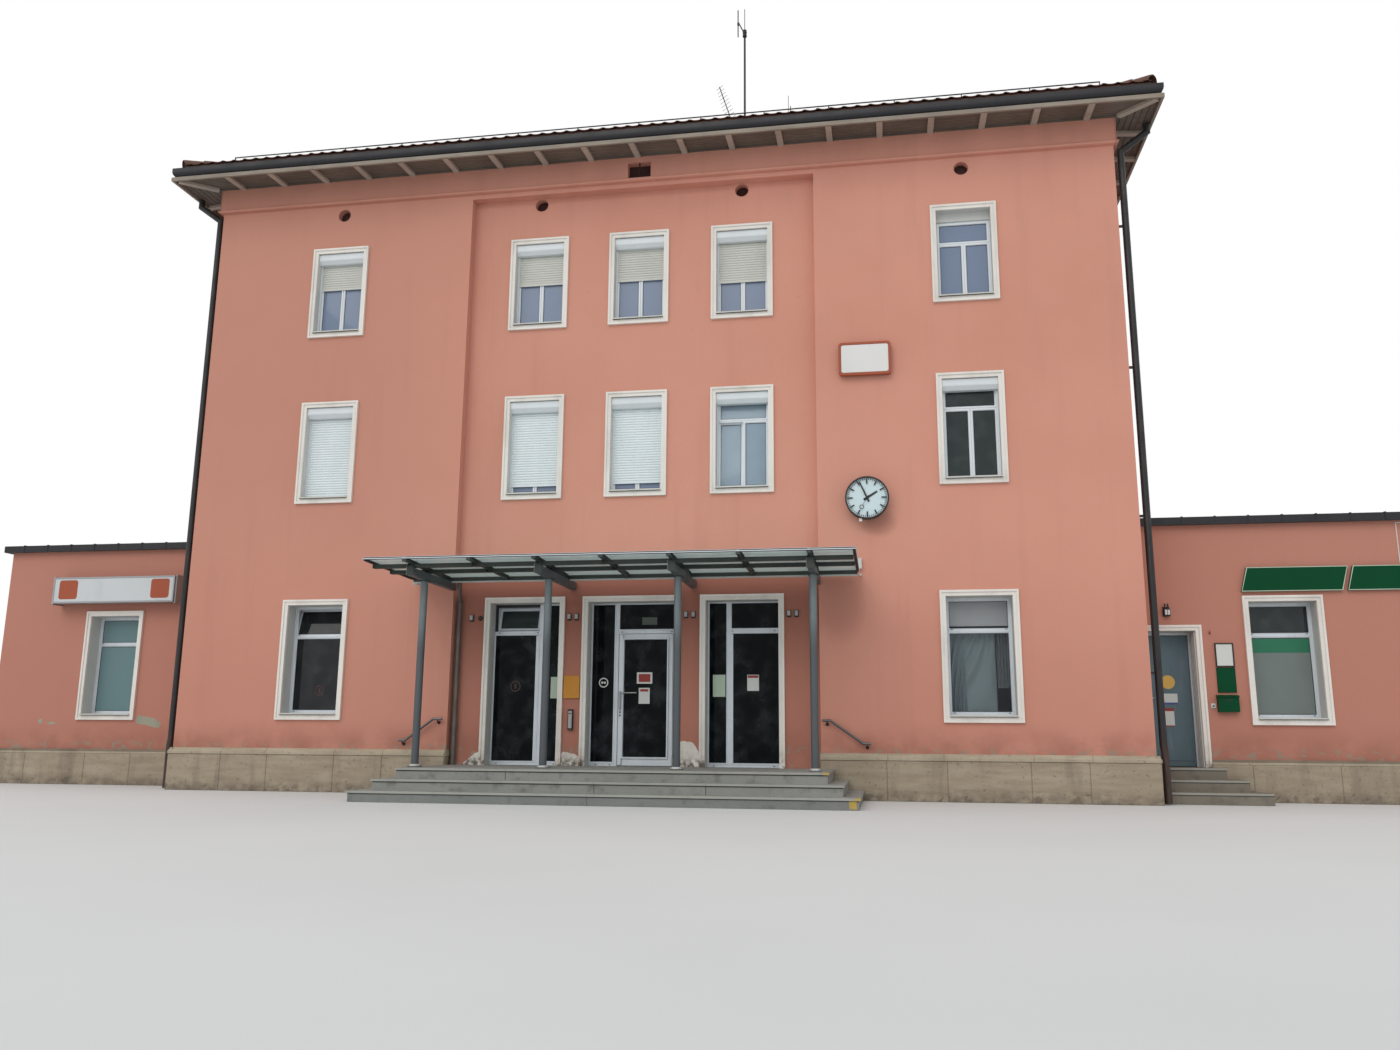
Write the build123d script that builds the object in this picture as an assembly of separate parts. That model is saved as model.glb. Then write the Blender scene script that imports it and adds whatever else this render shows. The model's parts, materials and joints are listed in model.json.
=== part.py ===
from build123d import *
import math
import os

# A three-storey railway station building with one-storey wings, in millimetres.
# X runs along the street front to the right, Y into the building, Z up.
# The origin is on level ground, in the middle of the main block's street front.

# Main block
BLOCK_WIDTH = 15940
BLOCK_DEPTH = 11000
WALL = 600
WALL_TOP = 10995
HALF_WIDTH = BLOCK_WIDTH / 2
MID_DEPTH = BLOCK_DEPTH / 2

# Clearance between a piece and the face that it is seated on
SEAT_GAP = 0.3

# The shallow recess in the middle of the street front
RECESS_LEFT = -3050
RECESS_RIGHT = 3060
RECESS_DEPTH = 180
RECESS_TOP = 10420

# Sandstone plinth with a moulded top
PLINTH_OUT = 50
PLINTH_LIP = 14
PLINTH_REACH = PLINTH_OUT + PLINTH_LIP
PLINTH_BODY_TOP = 600
PLINTH_TOP = 700

# Plain band and bead under the eaves
BAND_BOTTOM = 10510
BAND_OUT = 50
BEAD_RADIUS = 32

# Floors, measured at their upper face
LANDING_TOP = 460
SLAB = 200
FIRST_FLOOR = 4050
SECOND_FLOOR = 7100
ATTIC_FLOOR = 10100

# Eaves
EAVE_OUT = 672
EDGE_BOARD_WIDTH = 40
EDGE_BOARD_BOTTOM = 10895
TAIL_WIDTH = 100
TAIL_DEPTH = 50
TAIL_PITCH = 840
TAIL_TIP_BOTTOM = 10900
BOARD = 15
BOARD_SEAT = 150
FASCIA_GAP = 5
FASCIA_THICKNESS = 20
PLATE_GAP = 20
PLATE_WIDTH = 200
GUTTER_WIDTH = 220
GUTTER_TOP = 11145
GUTTER_SKIN = 6

# Hipped roof
PITCH = 22
ROOF_EDGE_OUT = 520
ROOF_EDGE_UNDER = 11155
ROOF_THICKNESS = 110
RIDGE_TILE_RADIUS = 110
RIDGE_TILE_WALL = 20
GUARD_HEIGHT = 190
GUARD_BAR = 16
GUARD_INSET = 60
GUARD_END = 150
GUARD_BAYS = 14
GUARD_LIFT = 40
GUARD_FOOT = 6.5

# Windows: clear openings, measured inside the surrounds
UPPER_WIDTH = 885
SURROUND = 90
SURROUND_OUT = 28
SURROUND_LIP = 34
SURROUND_LIP_OUT = 46
ROW_TWO = (8039, 9564)
ROW_ONE = (4981, 6638)
ROW_GROUND = (1263, 3111)
GROUND_WIDTH = 1010
SIDE_COLUMN = 5525
CENTRE_COLUMN = 1810
UPPER_REVEAL = 160
GROUND_REVEAL = 250
FRAME = 58
FRAME_DEPTH = 70
MULLION = 80
PANE = 24
TRANSOM_SHARE = 0.27
SILL = 20
SILL_OUT = 60
BOX_HEIGHT = 190
BOX_OUT = 10
GUIDE = 30
CURTAIN = 12
OCULUS_RADIUS = 118
OCULUS_Z = 10300
VENT = (-180, 230, 10570, 10860)

# Entrance doors: clear openings, measured inside the surrounds
DOOR_TOP = 3120
DOOR_LEFT = (-2450, -1240)
DOOR_MIDDLE = (-755, 696)
DOOR_RIGHT = (1213, 2400)
DOOR_REVEAL = 250
DOOR_FRAME = 60
DOOR_FRAME_DEPTH = 80
TRANSOM_Z = 2640
SIDE_PANE_LEFT = 300
SIDE_PANE_RIGHT = 260
SIDELIGHT = 350
LEAF_THICKNESS = 60
LEAF_STILE = 75
LEAF_RAIL = 120
LEAF_GAP = 8
LEAF_CENTRE_GAP = 10
GRIP_HEIGHT = 1050
GRIP_HALF = 150
GRIP_OUT = 60
GRIP_RADIUS = 15

# Door hinges
BARREL_RADIUS = 12
PIN_RADIUS = 8
HINGE_FIT = 0.3
HINGE_STANDOFF = 1
HINGE_HEIGHT = 90
HINGE_INSET = 180
HINGE_PLATE = 4
HINGE_PLATE_WIDTH = 34

# Steps at the entrance
STEP_CENTRE = 90
LANDING_HALF = 3180
LANDING_FRONT = -1800
GOING = 300
SIDE_GOING = 220
NOSING = 30
NOSING_OUT = 20

# Glass canopy over the entrance
COLUMN_X = (-3045, -1015, 1015, 3045)
COLUMN_Y = -1200
COLUMN_RADIUS = 57
COLUMN_WALL = 6
BASE_PLATE = 170
BASE_PLATE_THICKNESS = 14
CANOPY_HALF = 3710
CANOPY_FRONT = -2000
CANOPY_REAR = -110
CANOPY_FRONT_Z = 3575
CANOPY_FALL = 1.5
CANOPY_GLASS = 14
PURLIN_TOP = CANOPY_FRONT_Z - 70
PURLIN_DEPTH = 58
PURLIN_WIDTH = 55
PURLIN_Y = (-1720, -1115)
PURLIN_END = 50
BAR_FRONT = -1960
BAR_REAR = -255
BAR_SEAT = 3
BEAM_WIDTH = 90
BEAM_FRONT = -1750
BEAM_BOTTOM = 3320
BEAM_NOSE = 15
BAR_WIDTH = 50
CANOPY_GUTTER = 110
CANOPY_PIPE_RADIUS = 38
CANOPY_PIPE_X = -2972
CANOPY_PIPE_Y = 112
CANOPY_PIPE_SHIFT = 90
CANOPY_TROUGH_END = 30
CANOPY_TROUGH_WALL = 4

# Handrails beside the steps
RAIL_RADIUS = 20
RAIL_OUT = 85
RAIL_HIGH = 1195
RAIL_LOW = 848

# Station sign and clock on the right pier
SIGN = (3440, 4290, 6740, 7300)
SIGN_THICKNESS = 60
SIGN_OUT = 40
CLOCK_X = 3853
CLOCK_Z = 4668
CLOCK_RADIUS = 340
CLOCK_CASE = 110
CLOCK_OUT = 120
CLOCK_RIM = 16
DIAL_INSET = 34
SPINDLE_RADIUS = 7
HAND_THICKNESS = 4
HAND_GAP = 5
HOUR_HAND = 190
MINUTE_HAND = 285
CLOCK_TIME = (1, 56)

# Wings
WING_SETBACK = 1250
WING_DEPTH = 8500
WING_WALL = 450
WING_TOP = 4370
WING_PLINTH_TOP = 640
LEFT_WING_END = -HALF_WIDTH - 4700
RIGHT_WING_END = HALF_WIDTH + 6730
LEFT_WING_WINDOW = -HALF_WIDTH - 2320
RIGHT_WING_WINDOWS = (HALF_WIDTH + 2325, HALF_WIDTH + 5330)
WING_ROOF = 110
WING_ROOF_OUT = 110
WING_EDGE_RISE = 40
WING_EDGE_DROP = 25
WING_EDGE_SKIN = 4
WING_FLOOR = 516
WING_DOOR = (HALF_WIDTH + 165, HALF_WIDTH + 995)
WING_DOOR_TOP = 2655
WING_DOOR_REVEAL = 300
WING_STEP_ENDS = (HALF_WIDTH + 1660, HALF_WIDTH + 1430, HALF_WIDTH + 1200)
WING_STEP_GOING = 300

# Wing signs
FOOD_SIGN = (-HALF_WIDTH - 3475, -HALF_WIDTH - 950, 3330, 3820)
FOOD_SIGN_THICKNESS = 150
FOOD_SIGN_OUT = 150
OFFICE_SIGN_START = HALF_WIDTH + 1727
OFFICE_SIGN_WIDTH = 1594
OFFICE_SIGN_PITCH = 1569
OFFICE_SIGN_Z = (3265, 3653)
OFFICE_SIGN_SLANT = 100
OFFICE_SIGN_THICKNESS = 45
OFFICE_SIGN_OUT = 15

# Rainwater pipes at the corners of the main block
PIPE_RADIUS = 55
PIPE_Y = 110
PIPE_GAP = 25
PIPE_KINK_Z = 800
PIPE_CLAMP_Z = (1900, 4300, 6700, 9100)
PIPE_CLAMP_HEIGHT = 40
PIPE_ARM = 24

# Aerial on the ridge
MAST_X = 1190
MAST_TOP = 17200
MAST_RADIUS = 24
MAST_HEAD = 560
MAST_HEAD_RADIUS = 8

os.makedirs("parts", exist_ok=True)


def save(name, *pieces):
    """Writes the solids of all pieces to one node."""
    solids = [solid for piece in pieces for solid in piece.solids()]
    export_step(Compound(solids), f"parts/{name}.step")


def block(x0, x1, y0, y1, z0, z1):
    """A box between two corners."""
    centre = Pos((x0 + x1) / 2, (y0 + y1) / 2, (z0 + z1) / 2)
    return centre * Box(x1 - x0, y1 - y0, z1 - z0)


def fused(pieces):
    """One shape from pieces that touch."""
    first, *rest = pieces
    return first.fuse(*rest) if rest else first


def cut(shape, tools):
    """The shape with every tool cut out of it."""
    return shape.cut(*tools) if tools else shape


def tube(x, y, z0, z1, radius, inner=0.0):
    """An upright round bar or pipe."""
    section = Circle(radius) - Circle(inner) if inner else Circle(radius)
    return Pos(x, y, z0) * extrude(section, z1 - z0)


def along_x(points, x0, x1):
    """A profile of (y, z) points drawn out along X."""
    face = make_face(Polyline(*points, close=True))
    return Pos(x0, 0, 0) * extrude(Plane.YZ * face, x1 - x0)


# The four sides of the main block share one local frame: the wall's outer face is
# the plane y = 0, outside is -Y, and x = 0 is the middle of the wall.
SIDES = {
    "front": (Pos(0, 0, 0), HALF_WIDTH),
    "back": (Pos(0, BLOCK_DEPTH, 0) * Rot(0, 0, 180), HALF_WIDTH),
    "left": (Pos(-HALF_WIDTH, MID_DEPTH, 0) * Rot(0, 0, -90), MID_DEPTH),
    "right": (Pos(HALF_WIDTH, MID_DEPTH, 0) * Rot(0, 0, 90), MID_DEPTH),
}


# How far a mitre's cutting wedge reaches past the profile it trims
WEDGE_REACH = 37


def mitre_wedge(half, out, inward, low, high):
    """The space between the mitre planes at both ends of one side."""
    front = out + WEDGE_REACH
    back = inward + WEDGE_REACH
    plan = [(-half - front, -front), (half + front, -front)]
    if back < half:
        plan += [(half - back, back), (back - half, back)]
    else:
        plan.append((0, half))
    tall = high - low + 2 * WEDGE_REACH
    return Pos(0, 0, low - WEDGE_REACH) * extrude(make_face(Polyline(*plan, close=True)), tall)


def mitred(points, out, inward, side):
    """A profile run along one side, with its ends mitred at the corners."""
    place, half = SIDES[side]
    end = half + out + WEDGE_REACH
    run = along_x(points, -end, end)
    low = min(z for _, z in points)
    high = max(z for _, z in points)
    return place * (run & mitre_wedge(half, out, inward, low, high))


def ring(points, out, inward):
    """A profile run around all four sides, as four mitred solids."""
    return [mitred(points, out, inward, side) for side in SIDES]


# Windows

class Window:
    """A window in a wall whose outer face is y = 0 in the wall's own frame."""

    def __init__(self, x, span, width, look, face=0):
        self.x = x
        self.bottom, self.top = span
        self.width = width
        self.look = look
        self.face = face
        self.reveal = GROUND_REVEAL if look == "ground" else UPPER_REVEAL
        self.left = x - width / 2
        self.right = x + width / 2

    def hole(self, depth):
        return block(self.left, self.right, self.face - 10, depth + 10, self.bottom, self.top)

    def ring_of(self, reach, width, out):
        outer = Rectangle(self.width + 2 * reach, self.top - self.bottom + 2 * reach)
        inner = Rectangle(
            self.width + 2 * (reach - width), self.top - self.bottom + 2 * (reach - width)
        )
        middle = Plane.XZ.offset(-self.face) * Pos(self.x, (self.top + self.bottom) / 2)
        return extrude(middle * (outer - inner), out)

    def surround(self):
        flat = self.ring_of(SURROUND, SURROUND, SURROUND_OUT)
        lip = self.ring_of(SURROUND, SURROUND_LIP, SURROUND_LIP_OUT)
        return flat + lip

    def frame_face(self):
        return self.face + self.reveal

    def lights(self):
        """The glazed lights as (x0, x1, z0, z1)."""
        left = self.left + FRAME
        right = self.right - FRAME
        low = self.bottom + SILL + FRAME
        high = self.top - FRAME
        split = high - TRANSOM_SHARE * (high - low)
        if self.look == "ground":
            return [
                (left, right, low, split - MULLION / 2),
                (left, right, split + MULLION / 2, high),
            ]
        if self.look in ("open", "plain"):
            tall = split - MULLION / 2
            return [
                (left, self.x - MULLION / 2, low, tall),
                (self.x + MULLION / 2, right, low, tall),
                (left, right, split + MULLION / 2, high),
            ]
        return [
            (left, self.x - MULLION / 2, low, high),
            (self.x + MULLION / 2, right, low, high),
        ]

    def frame(self):
        face = self.frame_face()
        plate = block(
            self.left, self.right, face, face + FRAME_DEPTH, self.bottom + SILL, self.top
        )
        holes = [
            block(x0, x1, face - 10, face + FRAME_DEPTH + 10, z0, z1)
            for x0, x1, z0, z1 in self.lights()
        ]
        return cut(plate, holes)

    def panes(self):
        face = self.frame_face() + (FRAME_DEPTH - PANE) / 2
        return [block(x0, x1, face, face + PANE, z0, z1) for x0, x1, z0, z1 in self.lights()]

    def sill(self):
        return block(
            self.left,
            self.right,
            self.face - SILL_OUT,
            self.frame_face() + FRAME_DEPTH,
            self.bottom,
            self.bottom + SILL,
        )

    def shutter_box(self):
        low = self.top - BOX_HEIGHT
        return block(
            self.left, self.right, self.face + BOX_OUT, self.frame_face(), low, self.top
        )

    def guides(self):
        face = self.frame_face()
        low = self.bottom + SILL
        high = self.top - BOX_HEIGHT
        return [
            block(self.left, self.left + GUIDE, face - 40, face, low, high),
            block(self.right - GUIDE, self.right, face - 40, face, low, high),
        ]

    def shutter(self, drop):
        """The roller shutter, let down over a share of the opening below its box."""
        face = self.frame_face() - 26
        high = self.top - BOX_HEIGHT
        low = high - drop * (high - self.bottom - SILL)
        return block(
            self.left + GUIDE, self.right - GUIDE, face, face + CURTAIN, low, high
        )


# How far each street-front shutter is let down, by column
SHUTTERS_TWO = {-SIDE_COLUMN: 0.36, -CENTRE_COLUMN: 0.42, 0: 0.44, CENTRE_COLUMN: 0.55}
SHUTTERS_ONE = {-SIDE_COLUMN: 1.0, -CENTRE_COLUMN: 0.9, 0: 0.9, CENTRE_COLUMN: 0, SIDE_COLUMN: 0}
COLUMNS = (-SIDE_COLUMN, -CENTRE_COLUMN, 0, CENTRE_COLUMN, SIDE_COLUMN)


def front_windows():
    """The upper windows of the street front, each with its shutter's drop or None."""
    found = []
    for span, drops in ((ROW_TWO, SHUTTERS_TWO), (ROW_ONE, SHUTTERS_ONE)):
        for x in COLUMNS:
            face = RECESS_DEPTH if RECESS_LEFT < x < RECESS_RIGHT else 0
            drop = drops.get(x)
            look = "open" if drop in (None, 0) else "shut"
            found.append((Window(x, span, UPPER_WIDTH, look, face), drop))
    return found


FRONT_UPPER = front_windows()
FRONT_GROUND = [
    Window(x, ROW_GROUND, GROUND_WIDTH, "ground") for x in (-SIDE_COLUMN, SIDE_COLUMN)
]
BACK_UPPER = [
    Window(x, span, UPPER_WIDTH, "plain") for span in (ROW_TWO, ROW_ONE) for x in COLUMNS
]
BACK_GROUND = [Window(x, ROW_GROUND, GROUND_WIDTH, "ground") for x in COLUMNS]
SIDE_COLUMNS = (-3200, 0, 3200)
SIDE_UPPER = [
    Window(x, span, UPPER_WIDTH, "plain")
    for span in (ROW_TWO, ROW_ONE)
    for x in SIDE_COLUMNS
]


def placed(side, shape):
    return SIDES[side][0] * shape


WING_BACK = WING_SETBACK + WING_DEPTH


def wing_windows():
    """Wing windows with the place of the wall frame that each belongs to."""
    front = Pos(0, WING_SETBACK, 0)
    back = Pos(0, WING_BACK, 0) * Rot(0, 0, 180)
    left_end = Pos(LEFT_WING_END, MID_DEPTH, 0) * Rot(0, 0, -90)
    right_end = Pos(RIGHT_WING_END, MID_DEPTH, 0) * Rot(0, 0, 90)
    places = [(front, LEFT_WING_WINDOW), (back, -LEFT_WING_WINDOW)]
    places += [(front, x) for x in RIGHT_WING_WINDOWS]
    places += [(back, -x) for x in RIGHT_WING_WINDOWS]
    places += [(left_end, 0), (right_end, 0)]
    return [(place, Window(x, ROW_GROUND, GROUND_WIDTH, "ground")) for place, x in places]


WING_WINDOWS = wing_windows()


# Walls of the main block

def oculus(x, face):
    hole = extrude(Circle(OCULUS_RADIUS), WALL + 20)
    return Pos(x, face - 10, OCULUS_Z) * Rot(-90, 0, 0) * hole


def walls():
    upper = [window for window, _ in FRONT_UPPER]
    piers = upper + FRONT_GROUND
    left = block(-HALF_WIDTH, RECESS_LEFT, 0, WALL, PLINTH_TOP, WALL_TOP)
    right = block(RECESS_RIGHT, HALF_WIDTH, 0, WALL, PLINTH_TOP, WALL_TOP)
    centre = along_x(
        [
            (RECESS_DEPTH, DOOR_TOP),
            (RECESS_DEPTH, RECESS_TOP),
            (0, RECESS_TOP),
            (0, WALL_TOP),
            (WALL, WALL_TOP),
            (WALL, DOOR_TOP),
        ],
        RECESS_LEFT,
        RECESS_RIGHT,
    )
    centre_windows = [w for w in upper if w.face == RECESS_DEPTH]
    left_windows = [w for w in piers if w.face == 0 and w.x < 0]
    right_windows = [w for w in piers if w.face == 0 and w.x > 0]
    left_holes = [w.hole(WALL) for w in left_windows] + [oculus(-SIDE_COLUMN, 0)]
    right_holes = [w.hole(WALL) for w in right_windows] + [oculus(SIDE_COLUMN, 0)]
    centre_holes = [w.hole(WALL) for w in centre_windows]
    centre_holes += [oculus(x, RECESS_DEPTH) for x in (-CENTRE_COLUMN, CENTRE_COLUMN)]
    vent_left, vent_right, vent_low, vent_high = VENT
    centre_holes.append(block(vent_left, vent_right, -10, WALL + 10, vent_low, vent_high))
    save("front_wall_left", cut(left, left_holes))
    save("front_wall_right", cut(right, right_holes))
    save("front_wall_centre", cut(centre, centre_holes))

    edges = [RECESS_LEFT, *DOOR_LEFT, *DOOR_MIDDLE, *DOOR_RIGHT, RECESS_RIGHT]
    door_piers = [
        block(edges[i], edges[i + 1], RECESS_DEPTH, WALL, LANDING_TOP, DOOR_TOP)
        for i in range(0, len(edges), 2)
    ]
    save("door_piers", *door_piers)
    save(
        "entrance_base",
        block(RECESS_LEFT, RECESS_RIGHT, RECESS_DEPTH, WALL, 0, LANDING_TOP),
    )

    side = block(
        WALL - MID_DEPTH, MID_DEPTH - WALL, 0, WALL, PLINTH_TOP, WALL_TOP
    )
    side_holes = [w.hole(WALL) for w in SIDE_UPPER]
    save("side_wall_left", placed("left", cut(side, side_holes)))
    save("side_wall_right", placed("right", cut(side, side_holes)))
    back = block(-HALF_WIDTH, HALF_WIDTH, 0, WALL, PLINTH_TOP, WALL_TOP)
    back_holes = [w.hole(WALL) for w in BACK_UPPER + BACK_GROUND]
    save("back_wall", placed("back", cut(back, back_holes)))


def plinth_profile(top):
    """Plinth section: a flat face, a splayed moulding and the seat for the wall."""
    step = (PLINTH_TOP - PLINTH_BODY_TOP) / 4
    return [
        (-PLINTH_OUT, 0),
        (-PLINTH_OUT, top - 4 * step),
        (-PLINTH_REACH, top - 4 * step),
        (-PLINTH_REACH, top - 2 * step),
        (0, top),
        (WALL, top),
        (WALL, 0),
    ]


def plinth():
    pieces = []
    profile = plinth_profile(PLINTH_TOP)
    gap = block(RECESS_LEFT, RECESS_RIGHT, -WALL, WALL + 10, -10, PLINTH_TOP + 10)
    for side in SIDES:
        run = mitred(profile, PLINTH_REACH, WALL, side)
        pieces.append(run - gap if side == "front" else run)
    save("plinth", *pieces)


def band():
    bead_z = BAND_BOTTOM + BEAD_RADIUS
    reach = BAND_OUT
    points = [
        (0, BAND_BOTTOM),
        (-reach, BAND_BOTTOM),
        (-reach - BEAD_RADIUS * 0.7, BAND_BOTTOM + BEAD_RADIUS * 0.3),
        (-reach - BEAD_RADIUS, bead_z),
        (-reach - BEAD_RADIUS * 0.7, bead_z + BEAD_RADIUS * 0.7),
        (-reach, bead_z + BEAD_RADIUS),
        (-reach, WALL_TOP),
        (0, WALL_TOP),
    ]
    pieces = ring(points, reach + BEAD_RADIUS, 0)
    vent_left, vent_right, vent_low, vent_high = VENT
    vent = block(vent_left, vent_right, -2 * reach, 10, vent_low, vent_high)
    pieces[0] = pieces[0] - vent
    save("eaves_band", *pieces)


def floors():
    inside_x = HALF_WIDTH - WALL
    inner_back = BLOCK_DEPTH - WALL

    def slab(top):
        return block(-inside_x, inside_x, WALL, inner_back, top - SLAB, top)

    save("ground_floor", slab(LANDING_TOP))
    save("upper_floors", *[slab(top) for top in (FIRST_FLOOR, SECOND_FLOOR, ATTIC_FLOOR)])


# Roof and eaves

RISE = math.tan(math.radians(PITCH))


def roof_under(y):
    """Height of the roof's underside at a distance inside the wall face."""
    return ROOF_EDGE_UNDER + (y + ROOF_EDGE_OUT) * RISE


def tail_bottom(y):
    """Height of the rafter tails' lower edge, which falls slightly outwards."""
    tip = -EAVE_OUT + EDGE_BOARD_WIDTH
    wall_end = WALL_TOP - TAIL_DEPTH
    return TAIL_TIP_BOTTOM + (wall_end - TAIL_TIP_BOTTOM) * (y - tip) / (-BAND_OUT - tip)


def ridge_sink():
    """How far the capping tiles' lower edges lie below the ridge line."""
    return (RIDGE_TILE_RADIUS - RIDGE_TILE_WALL) * RISE


def roof():
    ridge_y = MID_DEPTH
    points = [
        (-ROOF_EDGE_OUT, roof_under(-ROOF_EDGE_OUT)),
        (ridge_y, roof_under(ridge_y)),
        (ridge_y, roof_under(ridge_y) + ROOF_THICKNESS),
        (-ROOF_EDGE_OUT, roof_under(-ROOF_EDGE_OUT) + ROOF_THICKNESS),
    ]
    save("roof_slopes", *ring(points, ROOF_EDGE_OUT, MID_DEPTH))

    # Half-round capping tiles lie along the ridge and down the four hips
    top = roof_under(ridge_y) + ROOF_THICKNESS
    edge = roof_under(-ROOF_EDGE_OUT) + ROOF_THICKNESS
    ridge_end = HALF_WIDTH - MID_DEPTH
    caps = []
    sink = ridge_sink()
    lift = 0.5
    cap = Circle(RIDGE_TILE_RADIUS) - Circle(RIDGE_TILE_RADIUS - RIDGE_TILE_WALL)
    above = Pos(0, RIDGE_TILE_RADIUS / 2) * Rectangle(
        2 * RIDGE_TILE_RADIUS, RIDGE_TILE_RADIUS
    )
    half_round = cap & above
    ridge = Plane.YZ * half_round
    caps.append(
        Pos(-ridge_end, ridge_y, top - sink + lift) * extrude(ridge, 2 * ridge_end)
    )
    for sx in (-1, 1):
        for sy in (-1, 1):
            high = Vector(sx * (ridge_end + 60), ridge_y + sy * 60, top - 60 * RISE)
            corner_y = -ROOF_EDGE_OUT if sy < 0 else BLOCK_DEPTH + ROOF_EDGE_OUT
            low = Vector(sx * (HALF_WIDTH + ROOF_EDGE_OUT), corner_y, edge)
            way = (low - high).normalized()
            across = way.cross(Vector(0, 0, 1)).normalized()
            drop = Vector(0, 0, lift - sink * math.sqrt(0.5))
            plane = Plane(origin=high + drop, x_dir=across, z_dir=way)
            upside = Rot(0, 0, 180) * half_round
            caps.append(extrude(plane * upside, (low - high).length - 40))
    save("ridge_and_hip_tiles", *caps)


def eaves():
    tip = -EAVE_OUT + EDGE_BOARD_WIDTH
    boards = [
        (tip, tail_bottom(tip) + TAIL_DEPTH),
        (-BAND_OUT, WALL_TOP),
        (BOARD_SEAT, WALL_TOP),
        (BOARD_SEAT, WALL_TOP + BOARD),
        (-BAND_OUT, WALL_TOP + BOARD),
        (tip, tail_bottom(tip) + TAIL_DEPTH + BOARD),
    ]
    save("soffit_boards", *ring(boards, EAVE_OUT, BOARD_SEAT))

    edge_top = tail_bottom(tip) + TAIL_DEPTH + BOARD
    edge = [
        (-EAVE_OUT, EDGE_BOARD_BOTTOM),
        (tip, EDGE_BOARD_BOTTOM),
        (tip, edge_top),
        (-EAVE_OUT, edge_top),
    ]

    # An upright board closes the eaves behind the gutter, and the wall plate carries the roof
    fascia_y = -EAVE_OUT + GUTTER_WIDTH + FASCIA_GAP
    fascia_back = fascia_y + FASCIA_THICKNESS
    fascia_low = tail_bottom(fascia_y) + TAIL_DEPTH + BOARD
    fascia = [
        (fascia_y, fascia_low),
        (fascia_back, tail_bottom(fascia_back) + TAIL_DEPTH + BOARD),
        (fascia_back, roof_under(fascia_back) - SEAT_GAP),
        (fascia_y, roof_under(fascia_y) - SEAT_GAP),
    ]
    plate_y = BOARD_SEAT + PLATE_GAP
    plate_back = plate_y + PLATE_WIDTH
    plate = [
        (plate_y, WALL_TOP),
        (plate_back, WALL_TOP),
        (plate_back, roof_under(plate_back) - SEAT_GAP),
        (plate_y, roof_under(plate_y) - SEAT_GAP),
    ]
    save("eave_boards", *ring(edge, EAVE_OUT, 0), *ring(fascia, EAVE_OUT, 0))
    save("wall_plates", *ring(plate, 0, WALL))

    tails = []
    tail = [
        (tip, tail_bottom(tip)),
        (-BAND_OUT, tail_bottom(-BAND_OUT)),
        (-BAND_OUT, WALL_TOP),
        (tip, tail_bottom(tip) + TAIL_DEPTH),
    ]
    for side, (place, half) in SIDES.items():
        count = int((half - 300) // TAIL_PITCH)
        for i in range(-count, count + 1):
            x = i * TAIL_PITCH
            tails.append(place * along_x(tail, x - TAIL_WIDTH / 2, x + TAIL_WIDTH / 2))
    hip_drop = (tail_bottom(0) - tail_bottom(-TAIL_WIDTH / 2)) * math.sqrt(0.5)
    for sx in (-1, 1):
        for y, sy in ((0, -1), (BLOCK_DEPTH, 1)):
            inner = Vector(sx * (HALF_WIDTH + BAND_OUT + 40), y + sy * (BAND_OUT + 40), 0)
            outer = Vector(
                sx * (HALF_WIDTH - tip - TAIL_WIDTH / 2), y - sy * (tip + TAIL_WIDTH / 2), 0
            )
            way = outer - inner
            plane = Plane(origin=inner, x_dir=way.normalized(), z_dir=(0, 0, 1))
            length = way.length
            low_in = tail_bottom(-BAND_OUT - 40) - hip_drop
            low_out = tail_bottom(tip + TAIL_WIDTH / 2) - hip_drop
            side_view = make_face(
                Polyline(
                    (0, low_in),
                    (length, low_out),
                    (length, low_out + TAIL_DEPTH),
                    (0, low_in + TAIL_DEPTH),
                    close=True,
                )
            )
            upright = Plane(origin=inner, x_dir=way.normalized(), z_dir=plane.y_dir * -1)
            tails.append(extrude(upright * side_view, TAIL_WIDTH / 2, both=True))
    save("rafter_tails", *tails)


def gutters():
    """U-shaped gutters that sit on the edge boards, mitred at the corners."""
    centre_y = -EAVE_OUT + GUTTER_WIDTH / 2
    radius = GUTTER_WIDTH / 2
    slope = tail_bottom(1) - tail_bottom(0)
    seat = radius * (math.hypot(1, slope) - 1) + 0.02
    floor = tail_bottom(centre_y) + TAIL_DEPTH + BOARD + seat
    arc_z = floor + radius

    def outline(r):
        return [
            Line((centre_y - r, GUTTER_TOP), (centre_y - r, arc_z)),
            ThreePointArc((centre_y - r, arc_z), (centre_y, arc_z - r), (centre_y + r, arc_z)),
            Line((centre_y + r, arc_z), (centre_y + r, GUTTER_TOP)),
            Line((centre_y + r, GUTTER_TOP), (centre_y - r, GUTTER_TOP)),
        ]

    section = make_face(outline(radius)) - make_face(outline(radius - GUTTER_SKIN))
    pieces = []
    for side, (place, half) in SIDES.items():
        reach = half + EAVE_OUT + WEDGE_REACH
        run = Pos(-reach, 0, 0) * extrude(Plane.YZ * section, 2 * reach)
        wedge = mitre_wedge(half, EAVE_OUT, GUTTER_WIDTH - EAVE_OUT, floor, GUTTER_TOP)
        pieces.append(place * (run & wedge))
    save("gutters", *pieces)


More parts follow.
